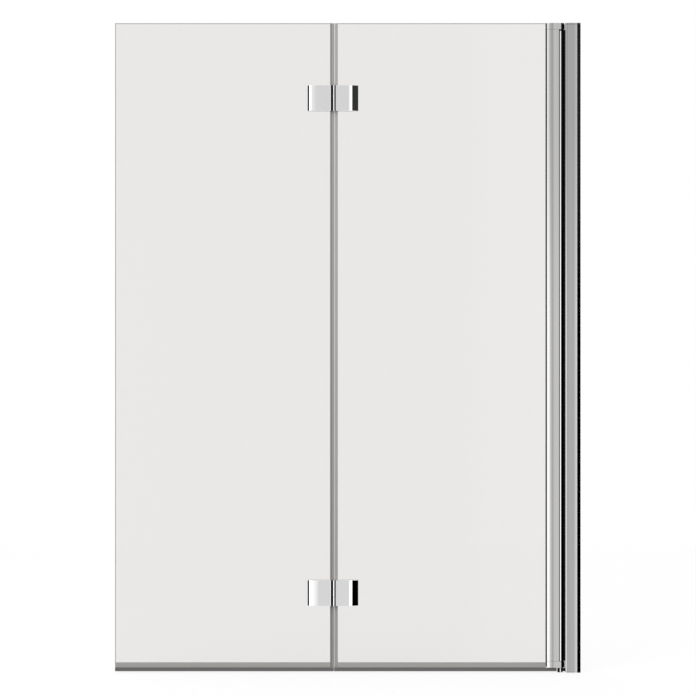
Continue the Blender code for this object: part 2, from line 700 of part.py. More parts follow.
def inner_bottom_seal():
    """Its fins run on under the swing profile's lower cap."""
    start = FOLD_X + SEAT_GAP
    tail_end = NOSE_X + FIN_TAIL
    seal = bottom_seal("inner_bottom_seal", start, tail_end)
    clip_start = INNER_PANE_LEFT + FOLD_SEAL_LEG + SEAT_GAP
    trim(seal, "inner_clip_start", start - CUT_OVERRUN, clip_start, GLASS_BOTTOM - 2 * SEAT_GAP)
    clip_end = NOSE_X - GASKET_LIP - 2 * SEAT_GAP
    trim(seal, "inner_clip_end", clip_end, tail_end + CUT_OVERRUN, GLASS_BOTTOM - FIN_TAIL_DROP)
    return seal


def leaf_outline(side, reach):
    """A leaf's section: thick at the fold, easing down to its outer end."""
    end = FOLD_X + side * reach
    flat = end - side * LEAF_SLOPE
    slope = easing(flat, end, -LEAF_FACE, LEAF_DROP)
    if side > 0:
        start = [(FOLD_X + SEAT_GAP, -PLATE_SEAT), (FOLD_X + SEAT_GAP, -LEAF_FACE)]
    else:
        centre = (OUTER_LEAF_STOP - LEAF_END_RADIUS, -LEAF_FACE + LEAF_END_RADIUS)
        start = [(OUTER_LEAF_STOP, -PLATE_SEAT)]
        start += arc(centre, LEAF_END_RADIUS, 0, -math.pi / 2, CORNER_STEPS)
    return start + slope + [(end, -PLATE_SEAT)]


def leaf(name, side, reach, height):
    """A front plate with its knuckles, bored for the pin and for the clamp screws."""
    low, high = height - HINGE_HEIGHT / 2, height + HINGE_HEIGHT / 2
    third = HINGE_HEIGHT / 3
    middle = (low + third, high - third)
    plate = extrusion(name, [leaf_outline(side, reach)], "Z", low, high, "chrome")
    axis = (FOLD_X, FOLD_Y)
    if side > 0:
        notch_end = FOLD_X + BARREL_RADIUS + SEAT_GAP
        for part, levels in (("low", (low, middle[0])), ("high", (middle[1], high))):
            join(plate, rod(f"{name}_knuckle_{part}", BARREL_RADIUS, *levels, axis))
        notch = (FOLD_X - BARREL_RADIUS - CUT_OVERRUN, FOLD_Y - BARREL_RADIUS - CUT_OVERRUN, middle[0])
        cut(plate, block(name + "_notch", notch, (notch_end, 0, middle[1])))
    else:
        levels = (middle[0] + TURN_GAP, middle[1] - TURN_GAP)
        arm_start = OUTER_LEAF_STOP - LEAF_END_RADIUS + SEAT_GAP
        arm = [
            (arm_start, -PLATE_SEAT),
            (arm_start, -PLATE_SEAT - LEAF_ARM),
            (FOLD_X - BARREL_RADIUS, -PLATE_SEAT - LEAF_ARM),
            (FOLD_X - BARREL_RADIUS, FOLD_Y),
            (FOLD_X - SEAT_GAP, FOLD_Y),
            (FOLD_X - SEAT_GAP, -PLATE_SEAT),
        ]
        join(plate, extrusion(name + "_arm", [arm], "Z", *levels))
        join(plate, rod(name + "_knuckle", BARREL_RADIUS, *levels, axis))
    cut(plate, rod(name + "_pin_bore", HINGE_PIN_BORE, low - CUT_OVERRUN, high + CUT_OVERRUN, axis))
    for number, place in enumerate(clamp_places(side, [height]), start=1):
        depth = (-PLATE_SEAT - CLAMP_BITE - SEAT_GAP, -PLATE_SEAT + CUT_OVERRUN)
        hole = circle(place, CLAMP_HOLE_RADIUS, SMALL_STEPS)
        cut(plate, extrusion(f"{name}_tapping_{number}", [hole], "Y", *depth))
    return plate


def rounded(left, right, low, high, radius):
    """A rectangle with round corners."""
    corners = [(right, low, -1), (right, high, 0), (left, high, 1), (left, low, 2)]
    points = []
    for u, v, quarter in corners:
        centre = (
            u + math.copysign(radius, (left + right) / 2 - u),
            v + math.copysign(radius, (low + high) / 2 - v),
        )
        start = quarter * math.pi / 2
        points += arc(centre, radius, start, start + math.pi / 2, CORNER_STEPS)
    return points


def clamp_parts(name, side, reach, height):
    """What clamps one leaf to its pane: two gaskets, the back plate and two screws."""
    pane_edge = FOLD_X + side * FOLD_SLIT / 2
    seal_end = pane_edge + side * (FOLD_SEAL_LEG + SEAT_GAP)
    end = FOLD_X + side * reach
    low, high = height - HINGE_HEIGHT / 2, height + HINGE_HEIGHT / 2
    places = clamp_places(side, [height])
    left, right = sorted((seal_end, end - side * HINGE_GASKET_INSET))
    inset = (low + HINGE_GASKET_INSET, high - HINGE_GASKET_INSET)
    corner = BACK_PLATE_CORNER - HINGE_GASKET_INSET
    sheet = rounded(left, right, *inset, corner)
    holes = [circle(place, CLAMP_HOLE_RADIUS, SMALL_STEPS) for place in places]
    thick = GLASS_SEAT + HINGE_GASKET_THICKNESS
    front = extrusion(
        name + "_front_gasket", [sheet, *holes], "Y", -thick, -GLASS_SEAT, "gasket_rubber"
    )
    rear = extrusion(name + "_back_gasket", [sheet, *holes], "Y", GLASS_SEAT, thick, "gasket_rubber")
    for number, place in enumerate(places, start=1):
        ring = circle(place, GLASS_HOLE_RADIUS - SEAT_GAP, SMALL_STEPS)
        bore = circle(place, CLAMP_HOLE_RADIUS, SMALL_STEPS)
        middle = GLASS_SEAT + HINGE_GASKET_THICKNESS / 2
        collar = extrusion(f"{name}_collar_{number}", [ring, bore], "Y", -GLASS_HALF, middle)
        join(rear, collar)
    left, right = sorted((pane_edge + side * SEAT_GAP, end))
    outline = rounded(left, right, low, high, BACK_PLATE_CORNER)
    back_face = PLATE_SEAT + BACK_PLATE_THICKNESS
    plate = extrusion(
        name + "_back_plate", [outline, *holes], "Y", PLATE_SEAT, back_face, "chrome"
    )
    head_seat = back_face - CLAMP_HEAD_HEIGHT - SEAT_GAP
    for number, place in enumerate(places, start=1):
        room = circle(place, CLAMP_HEAD_RADIUS + SEAT_GAP, SMALL_STEPS)
        levels = (head_seat, back_face + CUT_OVERRUN)
        cut(plate, extrusion(f"{name}_head_room_{number}", [room], "Y", *levels))
    return [front, rear, plate, *clamp_screws(name, places, head_seat + SEAT_GAP)]


def clamp_screws(name, places, head_base):
    """Screws from the back, with a hexagon socket, that end inside the front leaf."""
    tip = -(head_base + PLATE_SEAT + CLAMP_BITE)
    profile = [
        (0, CLAMP_HEAD_HEIGHT),
        (CLAMP_HEAD_RADIUS, CLAMP_HEAD_HEIGHT),
        (CLAMP_HEAD_RADIUS, 0),
        (CLAMP_SCREW_RADIUS, 0),
        (CLAMP_SCREW_RADIUS, tip),
        (0, tip),
    ]
    screws = []
    for number, (x, z) in enumerate(places, start=1):
        place = (x, head_base, z)
        screw = turned(f"{name}_screw_{number}", profile, place, (-math.pi / 2, 0, 0), "stainless_steel")
        hexagon = circle((x, z), CLAMP_SOCKET_RADIUS, SOCKET_SIDES)
        head_top = head_base + CLAMP_HEAD_HEIGHT
        levels = (head_top - CLAMP_HEAD_HEIGHT / 2, head_top + CUT_OVERRUN)
        cut(screw, extrusion(f"{name}_socket_{number}", [hexagon], "Y", *levels))
        screws.append(screw)
    return screws


def hinge(place, height):
    """One glass-to-glass hinge: what stays with the inner pane, and what turns with the outer."""
    name = f"hinge_{place}"
    reach = HINGE_HEIGHT / 2 + HINGE_PIN_PROUD
    pin_levels = (height - reach, height + reach)
    pin = rod(name + "_pin", HINGE_PIN_RADIUS, *pin_levels, (FOLD_X, FOLD_Y), "stainless_steel")
    inner = [leaf(name + "_inner_leaf", 1, INNER_LEAF_REACH, height), pin]
    inner += clamp_parts(name + "_inner", 1, INNER_LEAF_REACH, height)
    outer = [leaf(name + "_outer_leaf", -1, OUTER_LEAF_REACH, height)]
    outer += clamp_parts(name + "_outer", -1, OUTER_LEAF_REACH, height)
    return inner, outer


def clear_scene():
    for old in list(bpy.data.objects):
        bpy.data.objects.remove(old)
    for name in ("Folding bath screen", "Tools"):
        bpy.context.scene.collection.children.link(bpy.data.collections.new(name))
    bpy.data.collections["Tools"].hide_render = True


def main():
    clear_scene()
    wall = axis_empty("wall_fixing", (0, 0, 0))
    slide = axis_empty("width_slide_axis", (JAMB_FACE_X, 0, 0), wall)
    pivot = axis_empty("wall_pivot_axis", (PIVOT_X, 0, 0), slide)
    fold = axis_empty("fold_hinge_axis", (FOLD_X, FOLD_Y, 0), pivot)
    fixed, turning = pivot_hardware()
    carry(wall, *wall_channel())
    carry(slide, jamb_profile(), *jamb_screws(), pivot_foot(), *fixed)
    carry(pivot, swing_profile(), *turning)
    carry(pivot, *swing_cap("swing_cap_top", UPPER_CAP_BASE, 1))
    carry(pivot, *swing_cap("swing_cap_bottom", LOWER_CAP_BASE, -1))
    carry(pivot, glazing_gasket("glazing_gasket_front", -1), glazing_gasket("glazing_gasket_rear", 1))
    carry(pivot, pane("inner_glass", INNER_PANE_LEFT, INNER_PANE_RIGHT, 1))
    carry(pivot, fold_seal("inner_fold_seal", 1), inner_bottom_seal())
    carry(fold, pane("outer_glass", OUTER_PANE_LEFT, OUTER_PANE_RIGHT, -1))
    carry(fold, fold_seal("outer_fold_seal", -1), outer_bottom_seal())
    for place, height in HINGE_HEIGHTS.items():
        inner, outer = hinge(place, height)
        carry(pivot, *inner)
        carry(fold, *outer)


main()
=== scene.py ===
# %% [markdown]
# # A folding bath screen
# Two panes of clear 6 mm safety glass fold on two chrome hinges and swing on a wall profile.
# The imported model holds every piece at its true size, and this lesson dresses it: each metal
# section, pane, seal and hinge is drawn again as a smooth surface with a finish of its own.

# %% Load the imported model
import json
import math

import bmesh
import bpy
import numpy as np
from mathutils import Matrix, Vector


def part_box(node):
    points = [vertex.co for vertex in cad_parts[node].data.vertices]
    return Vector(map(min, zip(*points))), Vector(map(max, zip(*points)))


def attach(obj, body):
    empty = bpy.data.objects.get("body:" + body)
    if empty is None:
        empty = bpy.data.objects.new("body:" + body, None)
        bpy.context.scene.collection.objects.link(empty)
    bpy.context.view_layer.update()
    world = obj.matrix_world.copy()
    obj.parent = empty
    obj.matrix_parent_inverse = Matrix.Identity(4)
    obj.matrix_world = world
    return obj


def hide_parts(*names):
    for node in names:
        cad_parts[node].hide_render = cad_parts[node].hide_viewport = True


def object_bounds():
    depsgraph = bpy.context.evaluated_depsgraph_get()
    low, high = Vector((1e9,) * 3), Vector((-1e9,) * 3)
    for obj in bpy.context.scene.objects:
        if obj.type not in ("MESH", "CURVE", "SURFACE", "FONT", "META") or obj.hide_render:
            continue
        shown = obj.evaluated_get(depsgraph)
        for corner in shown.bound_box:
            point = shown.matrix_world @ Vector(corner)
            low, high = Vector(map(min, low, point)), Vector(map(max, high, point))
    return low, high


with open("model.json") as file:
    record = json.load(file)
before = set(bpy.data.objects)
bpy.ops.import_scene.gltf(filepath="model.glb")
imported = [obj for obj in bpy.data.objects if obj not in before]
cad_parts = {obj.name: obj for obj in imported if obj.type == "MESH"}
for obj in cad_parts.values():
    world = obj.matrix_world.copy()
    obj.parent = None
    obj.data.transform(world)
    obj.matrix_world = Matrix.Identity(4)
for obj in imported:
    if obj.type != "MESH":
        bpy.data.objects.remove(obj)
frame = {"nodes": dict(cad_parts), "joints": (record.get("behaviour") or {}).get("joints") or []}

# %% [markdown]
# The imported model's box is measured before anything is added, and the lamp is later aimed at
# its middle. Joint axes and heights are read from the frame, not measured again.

CAD_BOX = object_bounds()
AXES = {joint["name"]: joint.get("pos_m") for joint in frame["joints"]}
PIVOT_X = AXES["wall_pivot"][0]
FOLD_X, FOLD_Y = AXES["fold_hinge"][:2]


def heights(name):
    """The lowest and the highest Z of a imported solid."""
    low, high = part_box(name)
    return low.z, high.z


HINGE_HEIGHTS = {place: sum(heights(f"hinge_{place}_pin")) / 2 for place in ("top", "bottom")}
SILL, TOP = heights("pivot_foot")[0], heights("outer_glass")[1]
print("box", [round(value, 4) for corner in CAD_BOX for value in corner], "hinges", HINGE_HEIGHTS)

# %% [markdown]
# ## Helpers for shapes
# Nearly every piece of a screen is an extrusion: one flat section, drawn out straight. So the
# main helper carries a section between two places and closes its ends. Sections are arrays of
# points, and their round corners are arcs worked out with cosines, fine enough for a mirror.

# %% Points along arcs
MM = 0.001
FINE = math.radians(4)


def arc(centre, radius, start, end):
    """Points centre + radius * (cos t, sin t), for t from start to end in even steps."""
    count = max(3, math.ceil(abs(end - start) / FINE) + 1)
    t = np.linspace(start, end, count)
    return np.array(centre) + radius * np.stack([np.cos(t), np.sin(t)], axis=1)


def easing(flat, end, face, drop):
    """An arc that leaves the line v = face at u = flat and has come down by drop at u = end.

    Its radius is (length^2 + drop^2) / (2 drop), so that it starts along the line.
    """
    length = abs(end - flat)
    radius = (length**2 + drop**2) / (2 * drop)
    t = np.linspace(0, math.asin(length / radius), 15)
    u = flat + math.copysign(1, end - flat) * radius * np.sin(t)
    v = face - math.copysign(1, face) * radius * (1 - np.cos(t))
    return np.stack([u, v], axis=1)


def leaning(places, leans, face):
    """An edge that starts on v = face and has a lean (the sine of its slope) given at some places.

    Between them the lean is interpolated, and the drop is the integral of lean / sqrt(1 - lean^2).
    """
    share = np.linspace(0, 1, 33)
    u = places[0] + (places[-1] - places[0]) * share
    away = abs(u - places[0])
    lean = np.interp(away, abs(np.array(places) - places[0]), leans)
    slope = lean / np.sqrt(1 - lean**2)
    drop = np.append(0, np.cumsum((slope[1:] + slope[:-1]) / 2 * np.diff(away)))
    return np.stack([u, face - math.copysign(1, face) * drop], axis=1)


def mirrored(points):
    """The same points at -v, in the opposite order."""
    return points[::-1] * (1, -1)


def whole(half):
    """A closed section from one half: its points, and then their mirror image."""
    return np.vstack([half, mirrored(half)])


def rectangle(left, right, low, high):
    return np.array([(left, low), (right, low), (right, high), (left, high)])


def rounded(left, right, low, high, radius):
    """A rectangle whose corners are quarter circles."""
    centres = [(right, low), (right, high), (left, high), (left, low)]
    middle = np.array([(left + right) / 2, (low + high) / 2])
    corners = []
    for quarter, centre in enumerate(centres):
        inward = np.sign(middle - centre) * radius
        start = (quarter - 1) * math.pi / 2
        corners.append(arc(centre + inward, radius, start, start + math.pi / 2))
    return np.vstack(corners)


print("an arc of a quarter circle has", len(arc((0, 0), 1, 0, math.pi / 2)), "points")

# %% [markdown]
# Real metal has no knife edges: what looks like a corner is a small round that catches a line
# of light or dark. So corners of a section are softened, and the section shrinks a little at
# the two ends of an extrusion. A piece is then a stack of rings with the same number of points.

# %% Rounded corners and ends
DIRECTIONS = {"X": (1, 2, 0), "Y": (0, 2, 1), "Z": (0, 1, 2)}
SHARP = math.radians(32)
LEAST_SHARE = 0.35


def cross(first, second):
    """The cross product of flat vectors, row by row."""
    return first[:, 0] * second[:, 1] - first[:, 1] * second[:, 0]


def softened(section, radius, points=5):
    """Puts a curve in place of each sharp corner V of a closed section.

    The curve is (1-t)^2 A + 2t(1-t) V + t^2 B, where A and B lie on the corner's two sides,
    radius * tan(turn / 2) away from it and never further than a third of a side.
    """
    before, after = section - np.roll(section, 1, axis=0), np.roll(section, -1, axis=0) - section
    lengths = np.linalg.norm(before, axis=1), np.linalg.norm(after, axis=1)
    into, out = before / lengths[0][:, None], after / lengths[1][:, None]
    turn = np.abs(np.arctan2(cross(into, out), (into * out).sum(axis=1)))
    reach = np.minimum(radius * np.tan(turn / 2), np.minimum(*lengths) / 3)
    reach = np.where(turn > SHARP, reach, 0)[:, None]
    start, stop = section - into * reach, section + out * reach
    t = np.linspace(0, 1, points)[None, :, None]
    curves = (1 - t) ** 2 * start[:, None] + 2 * t * (1 - t) * section[:, None] + t**2 * stop[:, None]
    kept = np.ones((len(section), points), bool)
    kept[:, 1:] = reach > 0
    return curves[kept]


def shrunk(section, distance):
    """Moves each point inwards by distance * (m + n) / (1 + m.n), for its sides' normals m, n."""
    ahead = np.roll(section, -1, axis=0)
    along = (ahead - section) / np.linalg.norm(ahead - section, axis=1)[:, None]
    inward = np.sign(cross(section, ahead).sum()) * np.stack([-along[:, 1], along[:, 0]], axis=1)
    other = np.roll(inward, 1, axis=0)
    share = np.maximum(1 + (inward * other).sum(axis=1), LEAST_SHARE)[:, None]
    return section + distance * (inward + other) / share


def drawn(section, axis, low, high, edge=0.0):
    """Rings of a section (u, v) along one axis, with ends rounded by a quarter circle.

    Near an end the section is shrunk by edge * (1 - sin t) at a height of edge * (1 - cos t).
    The edge stays below 0.7 of the section's corner rounds, or the end rings would cross.
    """
    t = np.linspace(0, math.pi / 2, 5) if edge else np.zeros(1)
    insets, rise = edge * (1 - np.sin(t)), edge * (1 - np.cos(t))
    insets, places = np.append(insets, insets[::-1]), np.append(low + rise, high - rise[::-1])
    rings = np.empty((len(places), len(section), 3))
    u, v, w = DIRECTIONS[axis]
    flat = np.stack([shrunk(section, inset) for inset in insets])
    rings[..., u], rings[..., v], rings[..., w] = flat[..., 0], flat[..., 1], places[:, None]
    return rings


def extruded(section, axis, low, high, corner, end=0.0):
    """A section with softened corners, drawn out between two places with rounded ends."""
    return drawn(softened(section, corner), axis, low, high, end)


print("a softened square has", len(softened(rectangle(0, 1, 0, 1), 0.1)), "points")


# %% Rings into meshes
HEXAGON = -1


def turned(centre, profile, axis="Z", sides=32, socket=0.0):
    """Rings of radius r at height h from the centre, for each (r, h) of the profile.

    Where r is HEXAGON, the ring is a hexagon with the socket's size a from centre to flat:
    r(t) = a / cos(t - 60 deg * round(t / 60 deg)).
    """
    t = np.arange(sides) * 2 * math.pi / sides
    sixth = math.pi / 3
    hexagon = socket / np.cos(t - sixth * np.round(t / sixth))
    radii = np.array([hexagon if r == HEXAGON else np.full(sides, r) for r, _ in profile])
    u, v, w = DIRECTIONS[axis]
    rings = np.empty((*radii.shape, 3))
    rings[..., u] = centre[u] + radii * np.cos(t)
    rings[..., v] = centre[v] + radii * np.sin(t)
    rings[..., w] = centre[w] + np.array([h for _, h in profile])[:, None]
    return rings


def mesh_of(name, rings):
    """Quads between neighbouring rings, and one face over each end, all facing outwards."""
    count, around, _ = rings.shape
    here = np.arange(count * around).reshape(count, around)
    ahead = np.roll(here, -1, axis=1)
    quads = np.stack([here[:-1], ahead[:-1], ahead[1:], here[1:]], axis=-1).reshape(-1, 4)
    mesh = bpy.data.meshes.new(name)
    mesh.from_pydata(rings.reshape(-1, 3), [], [*quads.tolist(), here[0][::-1].tolist(), here[-1].tolist()])
    shape = bmesh.new()
    shape.from_mesh(mesh)
    bmesh.ops.recalc_face_normals(shape, faces=shape.faces)
    shape.to_mesh(mesh)
    shape.free()
    return mesh


print("a drawn square has", len(mesh_of("trial", drawn(rectangle(0, 1, 0, 1), "Z", 0, 1)).polygons), "faces")
bpy.data.meshes.remove(bpy.data.meshes["trial"])

# %% [markdown]
# Neighbouring rings are joined by quads, and the first and last ring are filled. Holes and
# notches are cut with closed tools of the same kind, and the cut is made final at once.
# Weighted normals then keep the wide flat faces as flat as a mirror.

# %% Make a piece of the screen
def final_mesh(obj):
    """Replaces an object's mesh and modifiers by what they make."""
    graph = bpy.context.evaluated_depsgraph_get()
    made = bpy.data.meshes.new_from_object(obj.evaluated_get(graph))
    obj.modifiers.clear()
    old, obj.data = obj.data, made
    bpy.data.meshes.remove(old)


def combined(obj, tools, operation):
    """Cuts ring stacks from an object, or adds them to it."""
    helpers = []
    for number, rings in enumerate(tools):
        helper = bpy.data.objects.new(f"{obj.name}_tool_{number}", mesh_of("tool", rings))
        bpy.context.scene.collection.objects.link(helper)
        boolean = obj.modifiers.new("Combine", "BOOLEAN")
        boolean.object, boolean.operation, boolean.solver = helper, operation, "EXACT"
        helpers.append(helper)
    bpy.context.view_layer.update()
    final_mesh(obj)
    for helper in helpers:
        mesh = helper.data
        bpy.data.objects.remove(helper)
        bpy.data.meshes.remove(mesh)


def piece(name, rings, body, finish, stands_for=(), cuts=(), adds=()):
    """One finished piece: rings to mesh, tools applied, shaded, riding on its body."""
    obj = bpy.data.objects.new(name, mesh_of(name, rings))
    bpy.context.scene.collection.objects.link(obj)
    if adds:
        combined(obj, adds, "UNION")
    if cuts:
        combined(obj, cuts, "DIFFERENCE")
    if not obj.data.polygons:
        raise RuntimeError(name + " has no faces left")
    obj.data.name = name
    obj.data.materials.clear()
    obj.data.materials.append(finish)
    obj.data.shade_smooth()
    obj.data.set_sharp_from_angle(angle=SHARP)
    weighted = obj.modifiers.new("Flat faces stay flat", "WEIGHTED_NORMAL")
    weighted.keep_sharp = True
    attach(obj, body)
    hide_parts(*stands_for)
    return obj


print("faces that meet at over", round(math.degrees(SHARP)), "degrees keep a sharp edge")

# %% [markdown]
# ## Helpers for finishes
# Marks that more than one finish shows are node groups: the long lines that a die leaves along
# an extrusion, the faint marks of hands and drying water, the grain of a mould, and the ground
# band round a pane. A last one marks a box in which a finish has another colour, and it is used
# to paint shade, reflections and highlights. Each group puts out only a value that changes over
# the surface.

# %% Build shared effects
ORIGIN = (0, 0, 0)
MARKED_NOISE, RIM_FADE, WINDOW_FADE = (0.22, 0.42), (1.1, 0.9), (1.0015, 1.0)


def effect(name, result, **inputs):
    """An empty node group that reads a place and the given inputs, and puts out one number.

    An input's default also tells its kind: a number, or three of them for a vector.
    """
    tree = bpy.data.node_groups.new(name, "ShaderNodeTree")
    for label, default in {"Vector": ORIGIN, **inputs}.items():
        kind = "NodeSocketVector" if isinstance(default, tuple) else "NodeSocketFloat"
        tree.interface.new_socket(label, in_out="INPUT", socket_type=kind).default_value = default
    tree.interface.new_socket(result, in_out="OUTPUT", socket_type="NodeSocketFloat")
    return tree, tree.nodes.new("NodeGroupInput").outputs, tree.nodes.new("NodeGroupOutput").inputs


def node(tree, kind, links=None, **settings):
    """A node with its settings, where links gives a socket or a value for an input."""
    made = tree.nodes.new(kind)
    for setting, value in settings.items():
        setattr(made, setting, value)
    for key, value in (links or {}).items():
        if isinstance(value, bpy.types.NodeSocket):
            tree.links.new(value, made.inputs[key])
        else:
            made.inputs[key].default_value = value
    return made


def maths(tree, operation, *values):
    """The result of a Math node."""
    return node(tree, "ShaderNodeMath", dict(enumerate(values)), operation=operation).outputs[0]


def vector(tree, operation, *values):
    """The result of a Vector Math node."""
    return node(tree, "ShaderNodeVectorMath", dict(enumerate(values)), operation=operation).outputs[0]


def noise(tree, place, scale, detail, roughness=0.5):
    """Layered noise between 0 and 1."""
    links = {"Vector": place, "Scale": scale, "Detail": detail, "Roughness": roughness}
    return node(tree, "ShaderNodeTexNoise", links).outputs["Fac"]


def ranged(tree, value, start, end, low=0.0, high=1.0, ease="LINEAR"):
    """low up to where the value is start, high from where it is end, and a ramp between them."""
    links = {"Value": value, "From Min": start, "From Max": end, "To Min": low, "To Max": high}
    return node(tree, "ShaderNodeMapRange", links, interpolation_type=ease).outputs[0]


def mixed(tree, share, first, second, kind="RGBA"):
    """first where share is 0, second where it is 1, and a mix of them between."""
    links = {"Factor": share, "A": first, "B": second}
    return node(tree, "ShaderNodeMix", links, data_type=kind).outputs["Result"]


def drawn_lines():
    """Fine lines along an extrusion: noise stretched by a different scale along each axis."""
    tree, given, put = effect("Drawn lines", "Height", Scale=(900, 900, 3))
    stretched = vector(tree, "MULTIPLY", given["Vector"], given["Scale"])
    tree.links.new(noise(tree, stretched, 1.0, detail=3.0, roughness=0.6), put["Height"])
    return tree


def handling_marks():
    """Roughness between clean and marked, where two sizes of noise overlap."""
    tree, given, put = effect("Handling marks", "Roughness", Wide=14.0, Fine=230.0, Clean=0.05, Marked=0.12)
    wide = noise(tree, given["Vector"], given["Wide"], detail=4.0)
    fine = noise(tree, given["Vector"], given["Fine"], detail=2.0)
    mask = ranged(tree, maths(tree, "MULTIPLY", wide, fine), *MARKED_NOISE, ease="SMOOTHSTEP")
    tree.links.new(ranged(tree, mask, 0.0, 1.0, given["Clean"], given["Marked"]), put["Roughness"])
    return tree


def moulded_grain():
    """The even grain of a moulded or extruded plastic: one noise of a given scale."""
    tree, given, put = effect("Moulded grain", "Height", Scale=1500.0)
    tree.links.new(noise(tree, given["Vector"], given["Scale"], detail=5.0), put["Height"])
    return tree


def ground_edge():
    """1 within a band of the pane's edge and 0 further in, from (half - |p - centre|) / band."""
    tree, given, put = effect("Ground edge", "Mask", Centre=ORIGIN, Half=ORIGIN, Band=0.0015)
    away = vector(tree, "SUBTRACT", given["Vector"], given["Centre"])
    left = vector(tree, "SUBTRACT", given["Half"], vector(tree, "ABSOLUTE", away))
    parts = node(tree, "ShaderNodeSeparateXYZ", {0: left}).outputs
    share = maths(tree, "DIVIDE", maths(tree, "MINIMUM", parts["X"], parts["Z"]), given["Band"])
    tree.links.new(ranged(tree, share, *RIM_FADE, ease="SMOOTHSTEP"), put["Mask"])
    return tree


def window():
    """1 inside a box and 0 outside it, from the largest of |p - centre| * share over the axes."""
    tree, given, put = effect("Window", "Mask", Centre=ORIGIN, Share=ORIGIN)
    away = vector(tree, "SUBTRACT", given["Vector"], given["Centre"])
    size = vector(tree, "ABSOLUTE", vector(tree, "MULTIPLY", away, given["Share"]))
    parts = node(tree, "ShaderNodeSeparateXYZ", {0: size}).outputs
    most = maths(tree, "MAXIMUM", maths(tree, "MAXIMUM", parts["X"], parts["Y"]), parts["Z"])
    tree.links.new(ranged(tree, most, *WINDOW_FADE), put["Mask"])
    return tree


MAKERS = (drawn_lines, handling_marks, moulded_grain, ground_edge, window)
EFFECTS = {made.name: made for made in (maker() for maker in MAKERS)}
print("effects:", ", ".join(EFFECTS))


# %% Start a material
def finish(name, **values):
    """A material with one Principled shader, its plain values set on the shader's own sockets."""
    made = bpy.data.materials.new(name)
    made.use_nodes = True
    tree = made.node_tree
    shader = tree.nodes["Principled BSDF"]
    for label, value in values.items():
        shader.inputs[label.replace("_", " ")].default_value = value
    return made, tree, shader, node(tree, "ShaderNodeTexCoord").outputs["Object"]


def placed(tree, name, place, **values):
    """What a shared effect puts out in a material's tree, read at the piece's own coordinates."""
    group = node(tree, "ShaderNodeGroup", node_tree=EFFECTS[name])
    tree.links.new(place, group.inputs["Vector"])
    for label, value in values.items():
        group.inputs[label].default_value = value
    return group.outputs[0]


def dented(tree, shader, height, strength, distance):
    """A bump from a height into the shader's normal."""
    bump = node(tree, "ShaderNodeBump", {"Height": height, "Strength": strength, "Distance": distance})
    tree.links.new(bump.outputs[0], shader.inputs["Normal"])


# %% [markdown]
# ## Metal finishes
# The hinges are bright chrome plate: almost a mirror, with faint marks that only change how
# sharp a reflection is. The long sections are aluminium, polished and anodised, so they are
# greyer than chrome and keep a trace of the die's lines along them.
#
# Shade and reflections are painted into some of these finishes: each has a box in which its
# colour is another one. The grooves beside the hinge pins and round the wall pivot, and the
# joint under the channel's top end cover, get painted shade, a dark box in a bright piece; the
# knuckles and the pivot's bead and boss get a painted reflection, a bright crown on dark flanks.

# %% Make the metals
LINE_STRENGTH, STREAK_DEPTH = 0.15, 0.10


def shaded(tree, mask, colour, depth):
    """A colour that runs from a little darker to a little lighter with a mask."""
    darker, lighter = ((*[value * scale for value in colour], 1) for scale in (1 - depth, 1 + depth))
    return mixed(tree, mask, darker, lighter)


def spotted(tree, place, tone, spot):
    """A tone that is another colour inside the box of spot (low corner, high corner, colour)."""
    low, high = np.array(spot[0]), np.array(spot[1])
    inside = placed(tree, "Window", place, Centre=(low + high) / 2, Share=2 / (high - low))
    return mixed(tree, inside, tone, (*spot[2], 1))


def metal(name, colour, clean, marked, lines=None, depth=0.0, streaks=None, spot=None):
    """Metal with handling marks in its roughness, lines in its relief and streaks in its tone.

    Where spot (low corner, high corner, colour) is given, the metal has that colour in that box.
    """
    made, tree, shader, place = finish(name, Base_Color=(*colour, 1), Metallic=1.0)
    marks = placed(tree, "Handling marks", place, Clean=clean, Marked=marked)
    tree.links.new(marks, shader.inputs["Roughness"])
    tone = (*colour, 1)
    if lines:
        dented(tree, shader, placed(tree, "Drawn lines", place, Scale=lines), LINE_STRENGTH, depth)
    if streaks:
        tone = shaded(tree, placed(tree, "Drawn lines", place, Scale=streaks), colour, STREAK_DEPTH)
        tree.links.new(tone, shader.inputs["Base Color"])
    # A spot paints shade or a reflection into the colour: a dark or a bright box.
    if spot:
        tree.links.new(spotted(tree, place, tone, spot), shader.inputs["Base Color"])
    return made


def upright_spot(left, right, colour, half_depth=1.0, low=-1.0, high=1.0):
    """A box from left to right in X and from low to high in Z, about the middle in Y."""
    return (left, -half_depth, low), (right, half_depth, high), colour


MIRROR, NEAR_MIRROR, POLISH, SATIN = (0.02, 0.06), (0.03, 0.06), (0.05, 0.08), (0.05, 0.09)
POLISHED = {"lines": (900, 900, 1.5), "depth": 2e-6}
STREAKED = {**POLISHED, "streaks": (240, 240, 0.7)}
# BLACK_AND_PAINTED_SHADE is the cast plug's own black. On the other finishes it is painted shade, or the dark
# part of a painted reflection.
BRIGHT, CLEAN_CHROME, BLACK_AND_PAINTED_SHADE = (0.86, 0.86, 0.86), (0.90, 0.90, 0.905), (0.02, 0.02, 0.02)
SWING_GREY, CHANNEL_GREY, PAINTED_JOINT_SHADE = (0.50, 0.497, 0.49), (0.375, 0.375, 0.375), (0.28, 0.28, 0.28)
